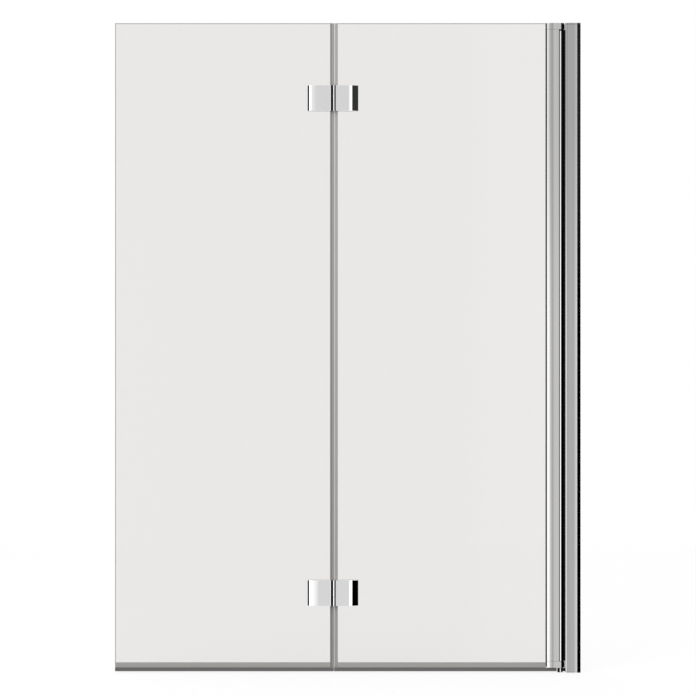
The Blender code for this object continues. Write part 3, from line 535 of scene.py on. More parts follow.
# Boxes of painted light: shade in the hinge blocks' groove, the knuckles' bright crown, shade on the caps'
# eye, a shade band under the channel's top cover, the bead's and boss's bright stripe.
GROOVE = FOLD_X - 5.9 * MM, FOLD_X + 4 * MM
CROWN = FOLD_X - 2 * MM, FOLD_X + 2.3 * MM
EYE_PAINTED_SHADE = PIVOT_X + 3.9 * MM, 0
JOINT_LOW, JOINT_HIGH = TOP - 4.3 * MM, TOP - 2.1 * MM
BEAD_LEFT, BEAD_RIGHT, BOSS_LEFT = PIVOT_X - 1.1 * MM, PIVOT_X + 3.8 * MM, PIVOT_X - 0.7 * MM
BEAD_LOW, BEAD_HIGH = np.array(heights("swing_profile")) + (1.2 * MM, -3.6 * MM)
JAMB_GROOVE_HALF = 9.6 * MM

CHROME = metal("chrome_plate", CLEAN_CHROME, *MIRROR)
# Painted shade: the hinge block is black in the groove next to the pin.
BLOCK_CHROME = metal("chrome_hinge_block", CLEAN_CHROME, *MIRROR, spot=upright_spot(*GROOVE, BLACK_AND_PAINTED_SHADE))
# Painted reflection: the knuckle is black but for a chrome crown in the middle of its width.
KNUCKLE_CHROME = metal("chrome_hinge_knuckle", BLACK_AND_PAINTED_SHADE, 0.03, 0.08, spot=upright_spot(*CROWN, CLEAN_CHROME))
SWING_METAL = metal("polished_swing_section", SWING_GREY, *POLISH, **STREAKED)
# Painted shade: the cap is black from the right part of its eye to the wall.
CAP_METAL = metal(
    "polished_swing_cap", SWING_GREY, *POLISH, **STREAKED, spot=upright_spot(*EYE_PAINTED_SHADE, BLACK_AND_PAINTED_SHADE),
)
# Painted shade: a darker band round the channel just under its top end cover, between JOINT_LOW and
# JOINT_HIGH.
CHANNEL_METAL = metal(
    "polished_wall_channel", CHANNEL_GREY, *POLISH, **STREAKED,
    spot=upright_spot(-1, 0, PAINTED_JOINT_SHADE, low=JOINT_LOW, high=JOINT_HIGH),
)
COVER_METAL = metal("polished_end_cover", (0.58, 0.58, 0.58), *SATIN)
# Painted reflection: the bead is black but for a bright stripe on its crown.
BEAD_METAL = metal(
    "bright_knuckle_bead", BLACK_AND_PAINTED_SHADE, *NEAR_MIRROR, **POLISHED,
    spot=upright_spot(BEAD_LEFT, BEAD_RIGHT, BRIGHT, low=BEAD_LOW, high=BEAD_HIGH),
)
# Painted reflection: the foot's boss is black but for a bright stripe, like the bead.
BOSS_METAL = metal("bright_foot_boss", BLACK_AND_PAINTED_SHADE, *NEAR_MIRROR, spot=upright_spot(BOSS_LEFT, BEAD_RIGHT, BRIGHT))
# Painted shade: the jamb's face is black in the groove round the bead, where |Y| is under JAMB_GROOVE_HALF.
JAMB_METAL = metal(
    "bright_jamb_section", (0.60, 0.60, 0.60), *SATIN, **POLISHED,
    spot=upright_spot(-1, 0, BLACK_AND_PAINTED_SHADE, half_depth=JAMB_GROOVE_HALF),
)
CAST = metal("dark_cast_plug", BLACK_AND_PAINTED_SHADE, 0.3, 0.4)
STEEL = metal("turned_stainless_steel", (0.60, 0.59, 0.58), 0.16, 0.26, (300, 300, 300), 1e-5)
print("metals:", CHROME.name, SWING_METAL.name, CHANNEL_METAL.name, JAMB_METAL.name, STEEL.name)

# %% [markdown]
# ## Plastics and rubber
# The push-on seals are grey vinyl with faint lines along their length. The fold seals carry a
# painted highlight: their colour is lighter along the rounded edges that meet, where they catch
# the light. The gaskets are matt black rubber, and bushes and washer are off-white nylon with a
# moulded grain.

# %% Make the plastics
VINYL_DEPTH, LIP_FADE = 0.22, 3 * MM


def vinyl(name, colour, lines, lip=None, spot=None):
    """Vinyl with streaks along its length, whose colour is darker below a height where lip (colour, height)
    is given.

    Where spot (low corner, high corner, colour) is given, the vinyl has that colour in that box.
    """
    made, tree, shader, place = finish(name, Roughness=0.32)
    streaks = placed(tree, "Drawn lines", place, Scale=lines)
    tone = shaded(tree, streaks, colour, VINYL_DEPTH)
    if lip:
        dark, top = lip
        height = node(tree, "ShaderNodeSeparateXYZ", {0: place}).outputs["Z"]
        below = ranged(tree, height, top, top - LIP_FADE)
        tone = mixed(tree, below, tone, shaded(tree, streaks, dark, VINYL_DEPTH))
    # A spot paints a highlight: the seal is lighter along its rounded edge.
    if spot:
        tone = spotted(tree, place, tone, spot)
    tree.links.new(tone, shader.inputs["Base Color"])
    dented(tree, shader, streaks, 0.3, 2e-5)
    return made


def moulded(name, colour, roughness, scale, depth, sheen=0.5):
    """A plastic or rubber with the fine grain of its mould or die."""
    made, tree, shader, place = finish(
        name, Base_Color=(*colour, 1), Roughness=roughness, Specular_IOR_Level=sheen,
    )
    dented(tree, shader, placed(tree, "Moulded grain", place, Scale=scale), 0.5, depth)
    return made


ALONG_X, ALONG_Z = (0.7, 420, 420), (420, 420, 0.7)
# Painted highlights: lighter boxes along the rounded edge of each fold seal at the slit.
OUTER_EDGE_HIGHLIGHT = FOLD_X - 4.1 * MM, FOLD_X - 2.1 * MM
INNER_EDGE_HIGHLIGHT = FOLD_X + 0.3 * MM, FOLD_X + 2.3 * MM
LIP = (0.165, 0.16, 0.154), -0.6875
OUTER_FOLD_VINYL = vinyl(
    "outer_fold_seal_vinyl", (0.28, 0.271, 0.258), ALONG_Z,
    spot=upright_spot(*OUTER_EDGE_HIGHLIGHT, (0.43, 0.417, 0.40)),
)
INNER_FOLD_VINYL = vinyl(
    "inner_fold_seal_vinyl", (0.45, 0.44, 0.425), ALONG_Z,
    spot=upright_spot(*INNER_EDGE_HIGHLIGHT, (0.68, 0.665, 0.645)),
)
BOTTOM_VINYL = vinyl("bottom_seal_vinyl", (0.50, 0.487, 0.47), ALONG_X, LIP)
RUBBER = moulded("gasket_rubber_matt", (0.014, 0.014, 0.014), 0.6, 2200.0, 3e-5, 0.2)
NYLON = moulded("white_nylon", (0.74, 0.74, 0.71), 0.5, 1500.0, 2e-5)
print("plastics:", OUTER_FOLD_VINYL.name, BOTTOM_VINYL.name, RUBBER.name, NYLON.name)

# %% [markdown]
# ## Glass
# Each pane is a true slab, so light bends through it as through real glass. Lamps would be
# stopped by such a slab, and a Transparent shader lets only their shadow rays through. Round
# the rim runs the ground band, where the edge is arrised and a little duller than the faces.

# %% Make the glass
TINT, RIM_TINT, SHADOW_TINT = (0.821, 0.810, 0.800, 1), (0.20, 0.21, 0.20, 1), (0.86, 0.86, 0.85, 1)
RIM_BAND, RIM_ROUGHNESS = 1.2 * MM, 0.25


def glass(name, pane_name):
    """Glass with a grey-green rim round the box of one pane, clear to the rays that make shadows."""
    low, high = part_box(pane_name)
    made, tree, shader, place = finish(name, Metallic=0.0, IOR=1.52, Transmission_Weight=1.0)
    rim = placed(tree, "Ground edge", place, Centre=(low + high) / 2, Half=(high - low) / 2, Band=RIM_BAND)
    tree.links.new(mixed(tree, rim, TINT, RIM_TINT), shader.inputs["Base Color"])
    tree.links.new(ranged(tree, rim, 0.0, 1.0, 0.0, RIM_ROUGHNESS), shader.inputs["Roughness"])
    shadow = node(tree, "ShaderNodeLightPath").outputs["Is Shadow Ray"]
    clear = node(tree, "ShaderNodeBsdfTransparent", {"Color": SHADOW_TINT}).outputs[0]
    both = node(tree, "ShaderNodeMixShader", {0: shadow, 1: shader.outputs[0], 2: clear})
    tree.links.new(both.outputs[0], tree.nodes["Material Output"].inputs["Surface"])
    return made


GLASS = {side: glass(f"{side}_clear_glass", f"{side}_glass") for side in ("inner", "outer")}
print("glass:", [made.name for made in GLASS.values()])

# %% [markdown]
# ## The panes
# A pane is a slab whose edges are arrised: a small slope takes the sharpness off each side.
# Its rings go round the pane, from the front face out over the front arris, across the edge
# and in over the rear one, and the clamp screws' holes are cut through afterwards.

# %% Cut the panes
HALF_GLASS, ARRIS, HOLE_RADIUS, PAST = 3 * MM, 0.6 * MM, 7 * MM, 10 * MM
SCREW_REACH, SCREW_SPACING, HINGE_HEIGHT = 31.5 * MM, 28 * MM, 55 * MM


def clamp_places(side, places=("top", "bottom")):
    """X and Z of the clamp screws on one side of the fold."""
    return [
        (FOLD_X + side * SCREW_REACH, HINGE_HEIGHTS[place] + step * SCREW_SPACING / 2)
        for place in places
        for step in (-1, 1)
    ]


def cylinder(axis, x, y, z, radius, low, high, sides=40):
    """A plain round tool between two places of one axis, centred on the other two."""
    centre = {"X": (0, y, z), "Y": (x, 0, z), "Z": (x, y, 0)}[axis]
    return turned(centre, [(radius, low), (radius, high)], axis, sides=sides)


def upright_bore(x, y, radius, low, high):
    """A tool for an upright bore, which runs a little past both heights."""
    return cylinder("Z", x, y, 0, radius, low - MM, high + MM)


def pane(side_name, side):
    """A slab in four rings, with the holes of the clamp screws."""
    low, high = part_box(f"{side_name}_glass")
    inside = rectangle(low.x + ARRIS, high.x - ARRIS, low.z + ARRIS, high.z - ARRIS)
    outside = rectangle(low.x, high.x, low.z, high.z)
    levels = (-HALF_GLASS, -HALF_GLASS + ARRIS, HALF_GLASS - ARRIS, HALF_GLASS)
    rings = np.stack([
        np.insert(flat, 1, level, axis=1)
        for flat, level in zip((inside, outside, outside, inside), levels)
    ])
    holes = [cylinder("Y", x, 0, z, HOLE_RADIUS, -PAST, PAST) for x, z in clamp_places(side)]
    return piece(f"{side_name}_pane", rings, f"{side_name}_leaf", GLASS[side_name],
                 [f"{side_name}_glass"], cuts=holes)


panes = [pane("inner", 1), pane("outer", -1)]
print("panes:", [(obj.name, len(obj.data.polygons)) for obj in panes])

# %% [markdown]
# ## The wall channel
# The channel is a U of aluminium on the wall. Its front face slopes back a little at the mouth,
# which makes one light line, and eases back in a long curve towards the wall, where it mirrors
# a brighter and then a black strip. At the rear it has the slots that let the jamb be pulled
# out and clamped, and in the web the holes for the wall screws.

# %% Draw the wall channel
CHANNEL_DEPTH, CHANNEL_HALF, CHANNEL_WALL = 32.8 * MM, 13 * MM, 2 * MM
TAPER_DEPTH, TAPER_RADIUS, TAPER = 8.2 * MM, 10 * MM, math.radians(20)
EASE_START, EASE_DROP = -15 * MM, 2.4 * MM
EDGE_SLOPE, EDGE_WIDTH, EDGE_RADIUS = math.radians(14.4), 4.4 * MM, 6 * MM
CAP_PLATE, CAP_PLUG = 1.7 * MM, 8 * MM
JAMB_BACK = -9 * MM
SEAT = 0.3 * MM
JAMB_SCREW_X, SLIDE_TRAVEL, SCREW_ROOM = -14 * MM, 14 * MM, 2.05 * MM
SLOT_DEPTHS, SCREW_DEPTHS = (10 * MM, 15 * MM), (7 * MM, 13 * MM)
WALL_HOLE, WALL_HOLE_SHARES = 3 * MM, (-0.86, -0.29, 0.29, 0.86)
QUARTER = math.pi / 2


def channel_half():
    """Half of the U: its inside, then its outside from the lip to the wall."""
    middle = (-TAPER_DEPTH, -CHANNEL_HALF + TAPER_RADIUS)
    inner = arc(middle, TAPER_RADIUS - CHANNEL_WALL, -QUARTER, -QUARTER + TAPER)
    web = inner[-1, 1] - (inner[-1, 0] + CHANNEL_WALL) * math.tan(TAPER)
    inside = np.vstack([[(-CHANNEL_WALL, web)], inner[::-1], [(-CHANNEL_DEPTH, CHANNEL_WALL - CHANNEL_HALF)]])
    middle = (EDGE_WIDTH - CHANNEL_DEPTH, EDGE_RADIUS - CHANNEL_HALF)
    crease = arc(middle, EDGE_RADIUS, -QUARTER - EDGE_SLOPE, -QUARTER)
    fall = (crease[0, 0] + CHANNEL_DEPTH) * math.tan(EDGE_SLOPE)
    lip = (-CHANNEL_DEPTH, crease[0, 1] + fall)
    outside = np.vstack([[lip], crease, easing(EASE_START, 0, -CHANNEL_HALF, EASE_DROP)])
    return inside, outside


def slot_tool(height):
    """A slot with round ends, through the rear flank."""
    right = arc((JAMB_SCREW_X, height), SCREW_ROOM, -QUARTER, QUARTER)
    left = arc((JAMB_SCREW_X - SLIDE_TRAVEL, height), SCREW_ROOM, QUARTER, 3 * QUARTER)
    return drawn(np.vstack([right, left]), "Y", *SLOT_DEPTHS)


channel_inside, channel_outside = channel_half()
channel_low, channel_high = heights("wall_channel")
jamb_screw_heights = [sum(heights(f"jamb_screw_{number}")) / 2 for number in (1, 2, 3)]
wall_holes = [
    cylinder("X", 0, 0, share * TOP, WALL_HOLE, -2 * CHANNEL_WALL, CHANNEL_WALL, sides=32)
    for share in WALL_HOLE_SHARES
]
channel_section = whole(np.vstack([channel_inside, channel_outside]))
channel = piece(
    "wall_channel_section",
    extruded(channel_section, "Z", channel_low, channel_high, corner=0.35 * MM, end=0.2 * MM),
    "wall", CHANNEL_METAL, ["wall_channel"],
    cuts=[*wall_holes, *map(slot_tool, jamb_screw_heights)],
)
plug_half = -channel_inside[0, 1] - SEAT
plug_section = rectangle(JAMB_BACK + SEAT, -CHANNEL_WALL - SEAT, -plug_half, plug_half)
for place, side, low, high in (("top", 1, TOP - CAP_PLATE, TOP), ("bottom", -1, -TOP, -TOP + CAP_PLATE)):
    levels = sorted((side * (TOP - CAP_PLATE / 2), side * (channel_high - CAP_PLUG)))
    lid = extruded(whole(channel_outside), "Z", low, high, corner=0.5 * MM, end=0.35 * MM)
    piece(f"channel_end_cover_{place}", lid, "wall", COVER_METAL, [f"channel_cap_{place}"],
          adds=[drawn(plug_section, "Z", *levels)])
print("wall channel:", len(channel.data.polygons), "faces")

# %% [markdown]
# ## The jamb and the pivot's knuckle
# The jamb slides in the channel and closes its mouth. A round bead along its front, the
# knuckle, stands on a thin neck and is the fixed half of the wall pivot. It shows as one bright
# line in a dark groove, and both are painted: a painted reflection on the bead, black but for a
# bright stripe, and painted shade on the jamb's face round it. It is bored through, and a steel
# pin is pressed into each end.

# %% Draw the jamb
JAMB_HALF, JAMB_WALL = 10.6 * MM, 1.8 * MM
JAMB_FACE = -CHANNEL_DEPTH + SEAT
KNUCKLE, NECK, TURN, BITE = 8.6 * MM, 1.3 * MM, 0.1 * MM, 0.4 * MM
PIN_BORE = 4.3 * MM
swing_low, swing_high = heights("swing_profile")
knuckle_low, knuckle_high = swing_low + TURN, swing_high - TURN

jamb_inside = JAMB_HALF - JAMB_WALL
jamb_half = np.array([
    (JAMB_FACE + JAMB_WALL, -jamb_inside), (JAMB_BACK, -jamb_inside),
    (JAMB_BACK, -JAMB_HALF), (JAMB_FACE, -JAMB_HALF),
])
jamb_section = extruded(whole(jamb_half), "Z", *heights("jamb_profile"), corner=0.4 * MM, end=0.2 * MM)
screw_holes = [
    cylinder("Y", JAMB_SCREW_X, 0, height, SCREW_ROOM, *SCREW_DEPTHS) for height in jamb_screw_heights
]
neck = rectangle(PIVOT_X + KNUCKLE - BITE, JAMB_FACE + JAMB_WALL / 2, -NECK, NECK)
jamb = piece(
    "jamb_section", jamb_section, "jamb", JAMB_METAL, ["jamb_profile"],
    cuts=screw_holes, adds=[drawn(neck, "Z", knuckle_low, knuckle_high)],
)
bead = arc((PIVOT_X, 0), KNUCKLE, 0, 4 * QUARTER)[:-1]
piece(
    "jamb_knuckle_bead", drawn(bead, "Z", knuckle_low, knuckle_high, edge=0.5 * MM), "jamb",
    BEAD_METAL, cuts=[upright_bore(PIVOT_X, 0, PIN_BORE, knuckle_low, knuckle_high)],
)
print("jamb:", len(jamb.data.polygons), "faces, bead", round(2 * KNUCKLE / MM, 1), "mm across")

# %% [markdown]
# ## The swing section
# This section turns about the knuckle and clamps the inner pane in a pocket. The edge towards
# the glass eases back in an arc, so its flat face ends in a broad highlight, and black rubber
# fills the mouth on both sides of the pane.

# %% Draw the swing section and its gaskets
SWING_HALF, SWING_SEAT = 9.4 * MM, 9.0 * MM
NOSE_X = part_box("swing_profile")[0].x
NOSE_LENGTH, NOSE_DROP = 14.7 * MM, 3.0 * MM
TIP_X, TIP_LENGTH, TIP_DROP = PIVOT_X - 2 * MM, 1.6 * MM, 0.45 * MM
POCKET_X = NOSE_X + 12.3 * MM
PORT, PORT_X = 1.95 * MM, (POCKET_X + PIVOT_X - SWING_SEAT) / 2
MOUTH_HALF, MOUTH_LIP, CHAMBER_HALF = 5.2 * MM, 2.3 * MM, 6.2 * MM
GLASS_SEAT = HALF_GLASS + SEAT
LIP_WIDTH, STEM_FOOT, STEM_HEAD, ROOM_HALF = 1.9 * MM, 8.5 * MM, 6.5 * MM, 9 * MM

nose = easing(NOSE_X + NOSE_LENGTH, NOSE_X, -SWING_HALF, NOSE_DROP)[::-1]
tip = easing(TIP_X - TIP_LENGTH, TIP_X, -SWING_HALF, TIP_DROP)
shoulder_x = NOSE_X + MOUTH_LIP
swing_mouth = [(POCKET_X, -CHAMBER_HALF), (shoulder_x, -CHAMBER_HALF), (shoulder_x, -MOUTH_HALF)]
swing_front = np.vstack([swing_mouth, [(NOSE_X, -MOUTH_HALF)], nose, tip])
tip_angle = math.atan2(math.sqrt(SWING_SEAT**2 - (PIVOT_X - TIP_X) ** 2), TIP_X - PIVOT_X)
seat = arc((PIVOT_X, 0), SWING_SEAT, 4 * QUARTER - tip_angle, tip_angle)
swing_outline = np.vstack([swing_front, seat, mirrored(swing_front)])
swing = piece(
    "swing_section", extruded(swing_outline, "Z", swing_low, swing_high, corner=0.4 * MM, end=0.08 * MM),
    "inner_leaf", SWING_METAL, ["swing_profile"],
    cuts=[upright_bore(PORT_X, 0, PORT, swing_low, swing_high)],
)


def glazing_gasket(side_name, side):
    """The lip along the mouth, with the stem that grips the pane inside the pocket."""
    right, outer = NOSE_X - SEAT, MOUTH_HALF - SEAT
    left, shoulder, bulb = right - LIP_WIDTH, shoulder_x + SEAT, CHAMBER_HALF - SEAT
    section = np.array([
        (left, GLASS_SEAT), (shoulder + STEM_FOOT, GLASS_SEAT), (shoulder + STEM_HEAD, bulb),
        (shoulder, bulb), (shoulder, outer - SEAT), (right, outer - SEAT), (right, outer), (left, outer),
    ]) * (1, side)
    low, high = heights(f"glazing_gasket_{side_name}")
    cap_room = rectangle(NOSE_X - 1.2 * SEAT, POCKET_X + MM, -ROOM_HALF, ROOM_HALF)
    cuts = [drawn(cap_room, "Z", low - MM, swing_low), drawn(cap_room, "Z", swing_high, high + MM)]
    strip = extruded(section, "Z", low, high, corner=0.3 * MM)
    return piece(f"glazing_rubber_{side_name}", strip, "inner_leaf", RUBBER,
                 [f"glazing_gasket_{side_name}"], cuts=cuts)


rubbers = [glazing_gasket("front", -1), glazing_gasket("rear", 1)]
print("swing section:", len(swing.data.polygons), "faces; rubbers:", [obj.name for obj in rubbers])

# %% [markdown]
# ## End caps and the pivot's foot
# Polished caps close the swing section, slotted for the pane, with a round eye at the knuckle.
# Each is held by one screw into the section. The lower eye turns on a foot, a small boss that
# stands on the bath's rim and plugs into the jamb.

# %% Draw the caps and the foot
EYE_BORE, EYE_FLOOR = 5.9 * MM, 3.7 * MM
HEAD_ROOM, HEAD_DEPTH = 2.8 * MM, 2.3 * MM
BOSS, BOSS_FLOOR = 5.8 * MM, 2.7 * MM
CAP_UNDERSIDE, WASHER_ROOM = -689.5 * MM, 1.4 * MM
FOOT_TOP = CAP_UNDERSIDE - WASHER_ROOM
TONGUE_LOW, TONGUE_HALF, TONGUE_REACH, PLUG_HALF = -698 * MM + SEAT, 3 * MM, 5 * MM, 8.5 * MM


def swing_cap(place, side):
    """A cap with a closed eye at the top, or one that is open below for the foot's pin."""
    front = np.vstack([[(POCKET_X, -GLASS_SEAT), (NOSE_X, -GLASS_SEAT)], nose])
    eye = arc((PIVOT_X, 0), SWING_HALF, -QUARTER, QUARTER)
    low, high = heights(f"swing_cap_{place}")
    outside, inside = (high, low) if side > 0 else (low, high)
    bore_end = outside - EYE_FLOOR if side > 0 else outside - MM
    cuts = [
        cylinder("Z", PORT_X, 0, 0, HEAD_ROOM, *sorted((outside + side * MM, outside - side * HEAD_DEPTH))),
        upright_bore(PORT_X, 0, PORT, low, high),
        cylinder("Z", PIVOT_X, 0, 0, EYE_BORE, *sorted((inside - side * MM, bore_end))),
    ]
    outline = np.vstack([front, eye, mirrored(front)])
    cap = extruded(outline, "Z", low, high, corner=0.4 * MM, end=0.12 * MM)
    return piece(f"swing_end_cap_{place}", cap, "inner_leaf", CAP_METAL, [f"swing_cap_{place}"],
                 cuts=cuts)


caps = [swing_cap("top", 1), swing_cap("bottom", -1)]

foot_low, foot_high = heights("pivot_foot")
boss = arc((PIVOT_X, 0), BOSS, 0, 4 * QUARTER)[:-1]
boss_bore = cylinder("Z", PIVOT_X, 0, 0, PIN_BORE, foot_low + BOSS_FLOOR, FOOT_TOP + MM)
piece("pivot_foot_boss", drawn(boss, "Z", foot_low, FOOT_TOP, edge=0.3 * MM), "jamb", BOSS_METAL,
      ["pivot_foot"], cuts=[boss_bore])
tongue = rectangle(PIVOT_X + TONGUE_REACH, JAMB_BACK - SEAT, -TONGUE_HALF, TONGUE_HALF)
plug = rectangle(JAMB_FACE + JAMB_WALL + SEAT, JAMB_SCREW_X, -PLUG_HALF, PLUG_HALF)
flange = rectangle(JAMB_FACE + SEAT, JAMB_BACK - SEAT, -JAMB_HALF, JAMB_HALF)
piece("pivot_foot_plug", drawn(flange, "Z", TONGUE_LOW, FOOT_TOP), "jamb", CAST, adds=[
    drawn(tongue, "Z", TONGUE_LOW, FOOT_TOP - SEAT), drawn(plug, "Z", (TONGUE_LOW + FOOT_TOP) / 2, foot_high),
])
print("caps:", [obj.name for obj in caps], "foot", round((FOOT_TOP - foot_low) / MM, 2), "mm high")

# %% [markdown]
# ## Seals
# A narrow U of vinyl is pushed over each pane at the fold, and the two meet under the hinges'
# pins. Along the bottom runs a clip with two wiping fins, which bend on to the bath's rim.

# %% Draw the fold seals
SEAL_WALL, SEAL_LEG, SEAL_CORNER, SLIT = 0.9 * MM, 4.2 * MM, 1.5 * MM, 4 * MM
glass_low = heights("outer_glass")[0]


def fold_seal(side_name, side, vinyl_finish):
    """A U that is open towards its pane, with round outer edges at the slit."""
    half = GLASS_SEAT + SEAL_WALL
    front = np.vstack([
        [(SLIT - SEAT, -GLASS_SEAT), (SLIT + SEAL_LEG, -GLASS_SEAT), (SLIT + SEAL_LEG, -half)],
        arc((SEAT + SEAL_CORNER, -half + SEAL_CORNER), SEAL_CORNER, -QUARTER, -2 * QUARTER),
    ])
    section = whole(front) * (side, 1) + (FOLD_X, 0)
    strip = extruded(section, "Z", glass_low, TOP, corner=0.25 * MM, end=0.15 * MM)
    return piece(f"{side_name}_fold_seal_strip", strip, f"{side_name}_leaf", vinyl_finish,
                 [f"{side_name}_fold_seal"])


fold_seals = [fold_seal("inner", 1, INNER_FOLD_VINYL), fold_seal("outer", -1, OUTER_FOLD_VINYL)]

# %% Draw the bottom seals
WEB, CLIP, BOTTOM_WALL = 1.4 * MM, 8.7 * MM, 1.2 * MM
FIN, FIN_DROP, FIN_SPREAD, RUBBER_TRIM = 1.1 * MM, 9.3 * MM, 2 * MM, 3 * MM


def bottom_section():
    """Half of the clip with its fin, in Y and Z, and the same mirrored."""
    wall, floor_level = GLASS_SEAT + BOTTOM_WALL, glass_low - SEAT
    low, high = glass_low - FIN_DROP, glass_low + CLIP
    half = np.array([
        (wall - FIN, floor_level - WEB), (wall + FIN_SPREAD - FIN, low), (wall + FIN_SPREAD, low),
        (wall, floor_level), (wall, high), (GLASS_SEAT, high), (GLASS_SEAT, floor_level),
    ])
    return np.vstack([half, half[::-1] * (-1, 1)])


def bottom_seal(side_name, trims):
    """The section along one pane, where trims (left, right, base) take away what is above base."""
    low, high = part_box(f"{side_name}_bottom_seal")
    above = glass_low + CLIP + MM
    cuts = [
        drawn(rectangle(-ROOM_HALF, ROOM_HALF, base, above), "X", left, right) for left, right, base in trims
    ]
    strip = extruded(bottom_section(), "X", low.x, high.x, corner=0.3 * MM, end=0.2 * MM)
    return piece(f"{side_name}_bottom_seal_strip", strip, f"{side_name}_leaf", BOTTOM_VINYL,
                 [f"{side_name}_bottom_seal"], cuts=cuts)


under = glass_low - 2 * SEAT
outer_right, inner_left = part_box("outer_glass")[1].x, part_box("inner_glass")[0].x
bottom_seals = [
    bottom_seal("outer", [(outer_right - SEAL_LEG - SEAT, FOLD_X + MM, under)]),
    bottom_seal("inner", [
        (FOLD_X - MM, inner_left + SEAL_LEG + SEAT, under),
        (NOSE_X - LIP_WIDTH - 2 * SEAT, 0, glass_low - RUBBER_TRIM),
    ]),
]
print("seals:", [(obj.name, len(obj.data.polygons)) for obj in [*fold_seals, *bottom_seals]])

# %% [markdown]
# ## Glass-to-glass hinges
# The front leaves are thick chrome blocks that ease down towards their outer ends, so that a
# white and then a black band lie over each end. Their knuckles share one pin, in front of the
# glass, which lets the outer pane fold flat on to the inner one.

# %% Draw the hinge leaves
GASKET, PIN, BARREL = 0.9 * MM, 1.7 * MM, 3.2 * MM
PLATE_SEAT = GLASS_SEAT + GASKET + SEAT
LEAF_FACE = PLATE_SEAT + 7.5 * MM
LEAF_SLOPE, LEAF_DROP, LEAF_END = 21.2 * MM, 6.2 * MM, 4.5 * MM
LEAN_STARTS, LEANS = (25.7 * MM, 8.5 * MM, 0), (0, 0.182, 0.545)
REACH = {1: 52.5 * MM, -1: 56.8 * MM}
SHANK, THREAD = 2.5 * MM, 4.5 * MM
LEAF_STOP = FOLD_X - BARREL - SEAT / 3
NOTCH_LEFT, NOTCH_FRONT = FOLD_X - 6 * MM, -20 * MM
ARM, PLAY = 3.5 * MM, 0.4 * MM
SIDE_NAMES = {1: "inner", -1: "outer"}


def leaf_section(side):
    """A leaf in plan: thick at the fold, easing down to its outer end, the outer one later."""
    end = FOLD_X + side * REACH[side]
    if side > 0:
        slope = easing(end - LEAF_SLOPE, end, -LEAF_FACE, LEAF_DROP)
        start = np.array([(FOLD_X + SEAT, -PLATE_SEAT), (FOLD_X + SEAT, -LEAF_FACE)])
    else:
        slope = leaning([end + away for away in LEAN_STARTS], LEANS, -LEAF_FACE)
        centre = (LEAF_STOP - LEAF_END, -LEAF_FACE + LEAF_END)
        start = np.vstack([[(LEAF_STOP, -PLATE_SEAT)], arc(centre, LEAF_END, 0, -QUARTER)])
    return np.vstack([start, slope, [(end, -PLATE_SEAT)]])


def barrel(low, high, radius, rim=0.35 * MM):
    """An upright cylinder on the fold's axis, with a small chamfer at both ends."""
    profile = [(radius - rim, low), (radius, low + rim), (radius, high - rim), (radius - rim, high)]
    return turned((FOLD_X, FOLD_Y, 0), profile, sides=48)


def shank_holes(place, side, low, high):
    """Clearance round the clamp screws' shanks, between two depths."""
    return [cylinder("Y", x, 0, z, SHANK + SEAT, low, high, sides=32) for x, z in clamp_places(side, [place])]


def hinge_leaf(place, side):
    """A leaf with its knuckles: the inner one's above and below, the outer one's between them."""
    middle = HINGE_HEIGHTS[place]
    low, high, third = middle - HINGE_HEIGHT / 2, middle + HINGE_HEIGHT / 2, HINGE_HEIGHT / 3
    name, body = f"hinge_{place}_{SIDE_NAMES[side]}", f"{SIDE_NAMES[side]}_leaf"
    cuts, adds = [], []
    if side > 0:
        notch = rectangle(NOTCH_LEFT, FOLD_X + BARREL + SEAT, NOTCH_FRONT, 0)
        cuts.append(drawn(notch, "Z", low + third, high - third))
        stretches = [(low, low + third), (high - third, high)]
    else:
        root, flank = LEAF_STOP - LEAF_END + SEAT, FOLD_X - BARREL
        arm = np.array([
            (root, -PLATE_SEAT), (root, -PLATE_SEAT - ARM), (flank, -PLATE_SEAT - ARM),
            (flank, FOLD_Y), (FOLD_X - SEAT, FOLD_Y), (FOLD_X - SEAT, -PLATE_SEAT),
        ])
        stretches = [(low + third + PLAY, high - third - PLAY)]
        adds.append(drawn(arm, "Z", *stretches[0]))
    bore = upright_bore(FOLD_X, FOLD_Y, PIN + SEAT, low, high)
    cuts += [bore, *shank_holes(place, side, -PLATE_SEAT - THREAD - SEAT, -PLATE_SEAT + MM)]
    leaf = extruded(leaf_section(side), "Z", low, high, corner=0.5 * MM, end=0.35 * MM)
    piece(f"{name}_leaf_block", leaf, body, BLOCK_CHROME, [f"{name}_leaf"], cuts=cuts, adds=adds)
    for number, stretch in enumerate(stretches, start=1):
        piece(f"{name}_knuckle_{number}", barrel(*stretch, BARREL), body, KNUCKLE_CHROME,
              cuts=[bore])


for place in HINGE_HEIGHTS:
    for side in (1, -1):
        hinge_leaf(place, side)
    piece(f"hinge_{place}_pin_rod", barrel(*heights(f"hinge_{place}_pin"), PIN, rim=0.3 * MM), "inner_leaf",
          STEEL, [f"hinge_{place}_pin"])
print("hinge leaves at", {place: round(height, 4) for place, height in HINGE_HEIGHTS.items()})

# %% [markdown]
# Behind the glass each leaf has a back plate, with rubber on both sides of the pane and two
# socket screws that pull the two together through the holes.

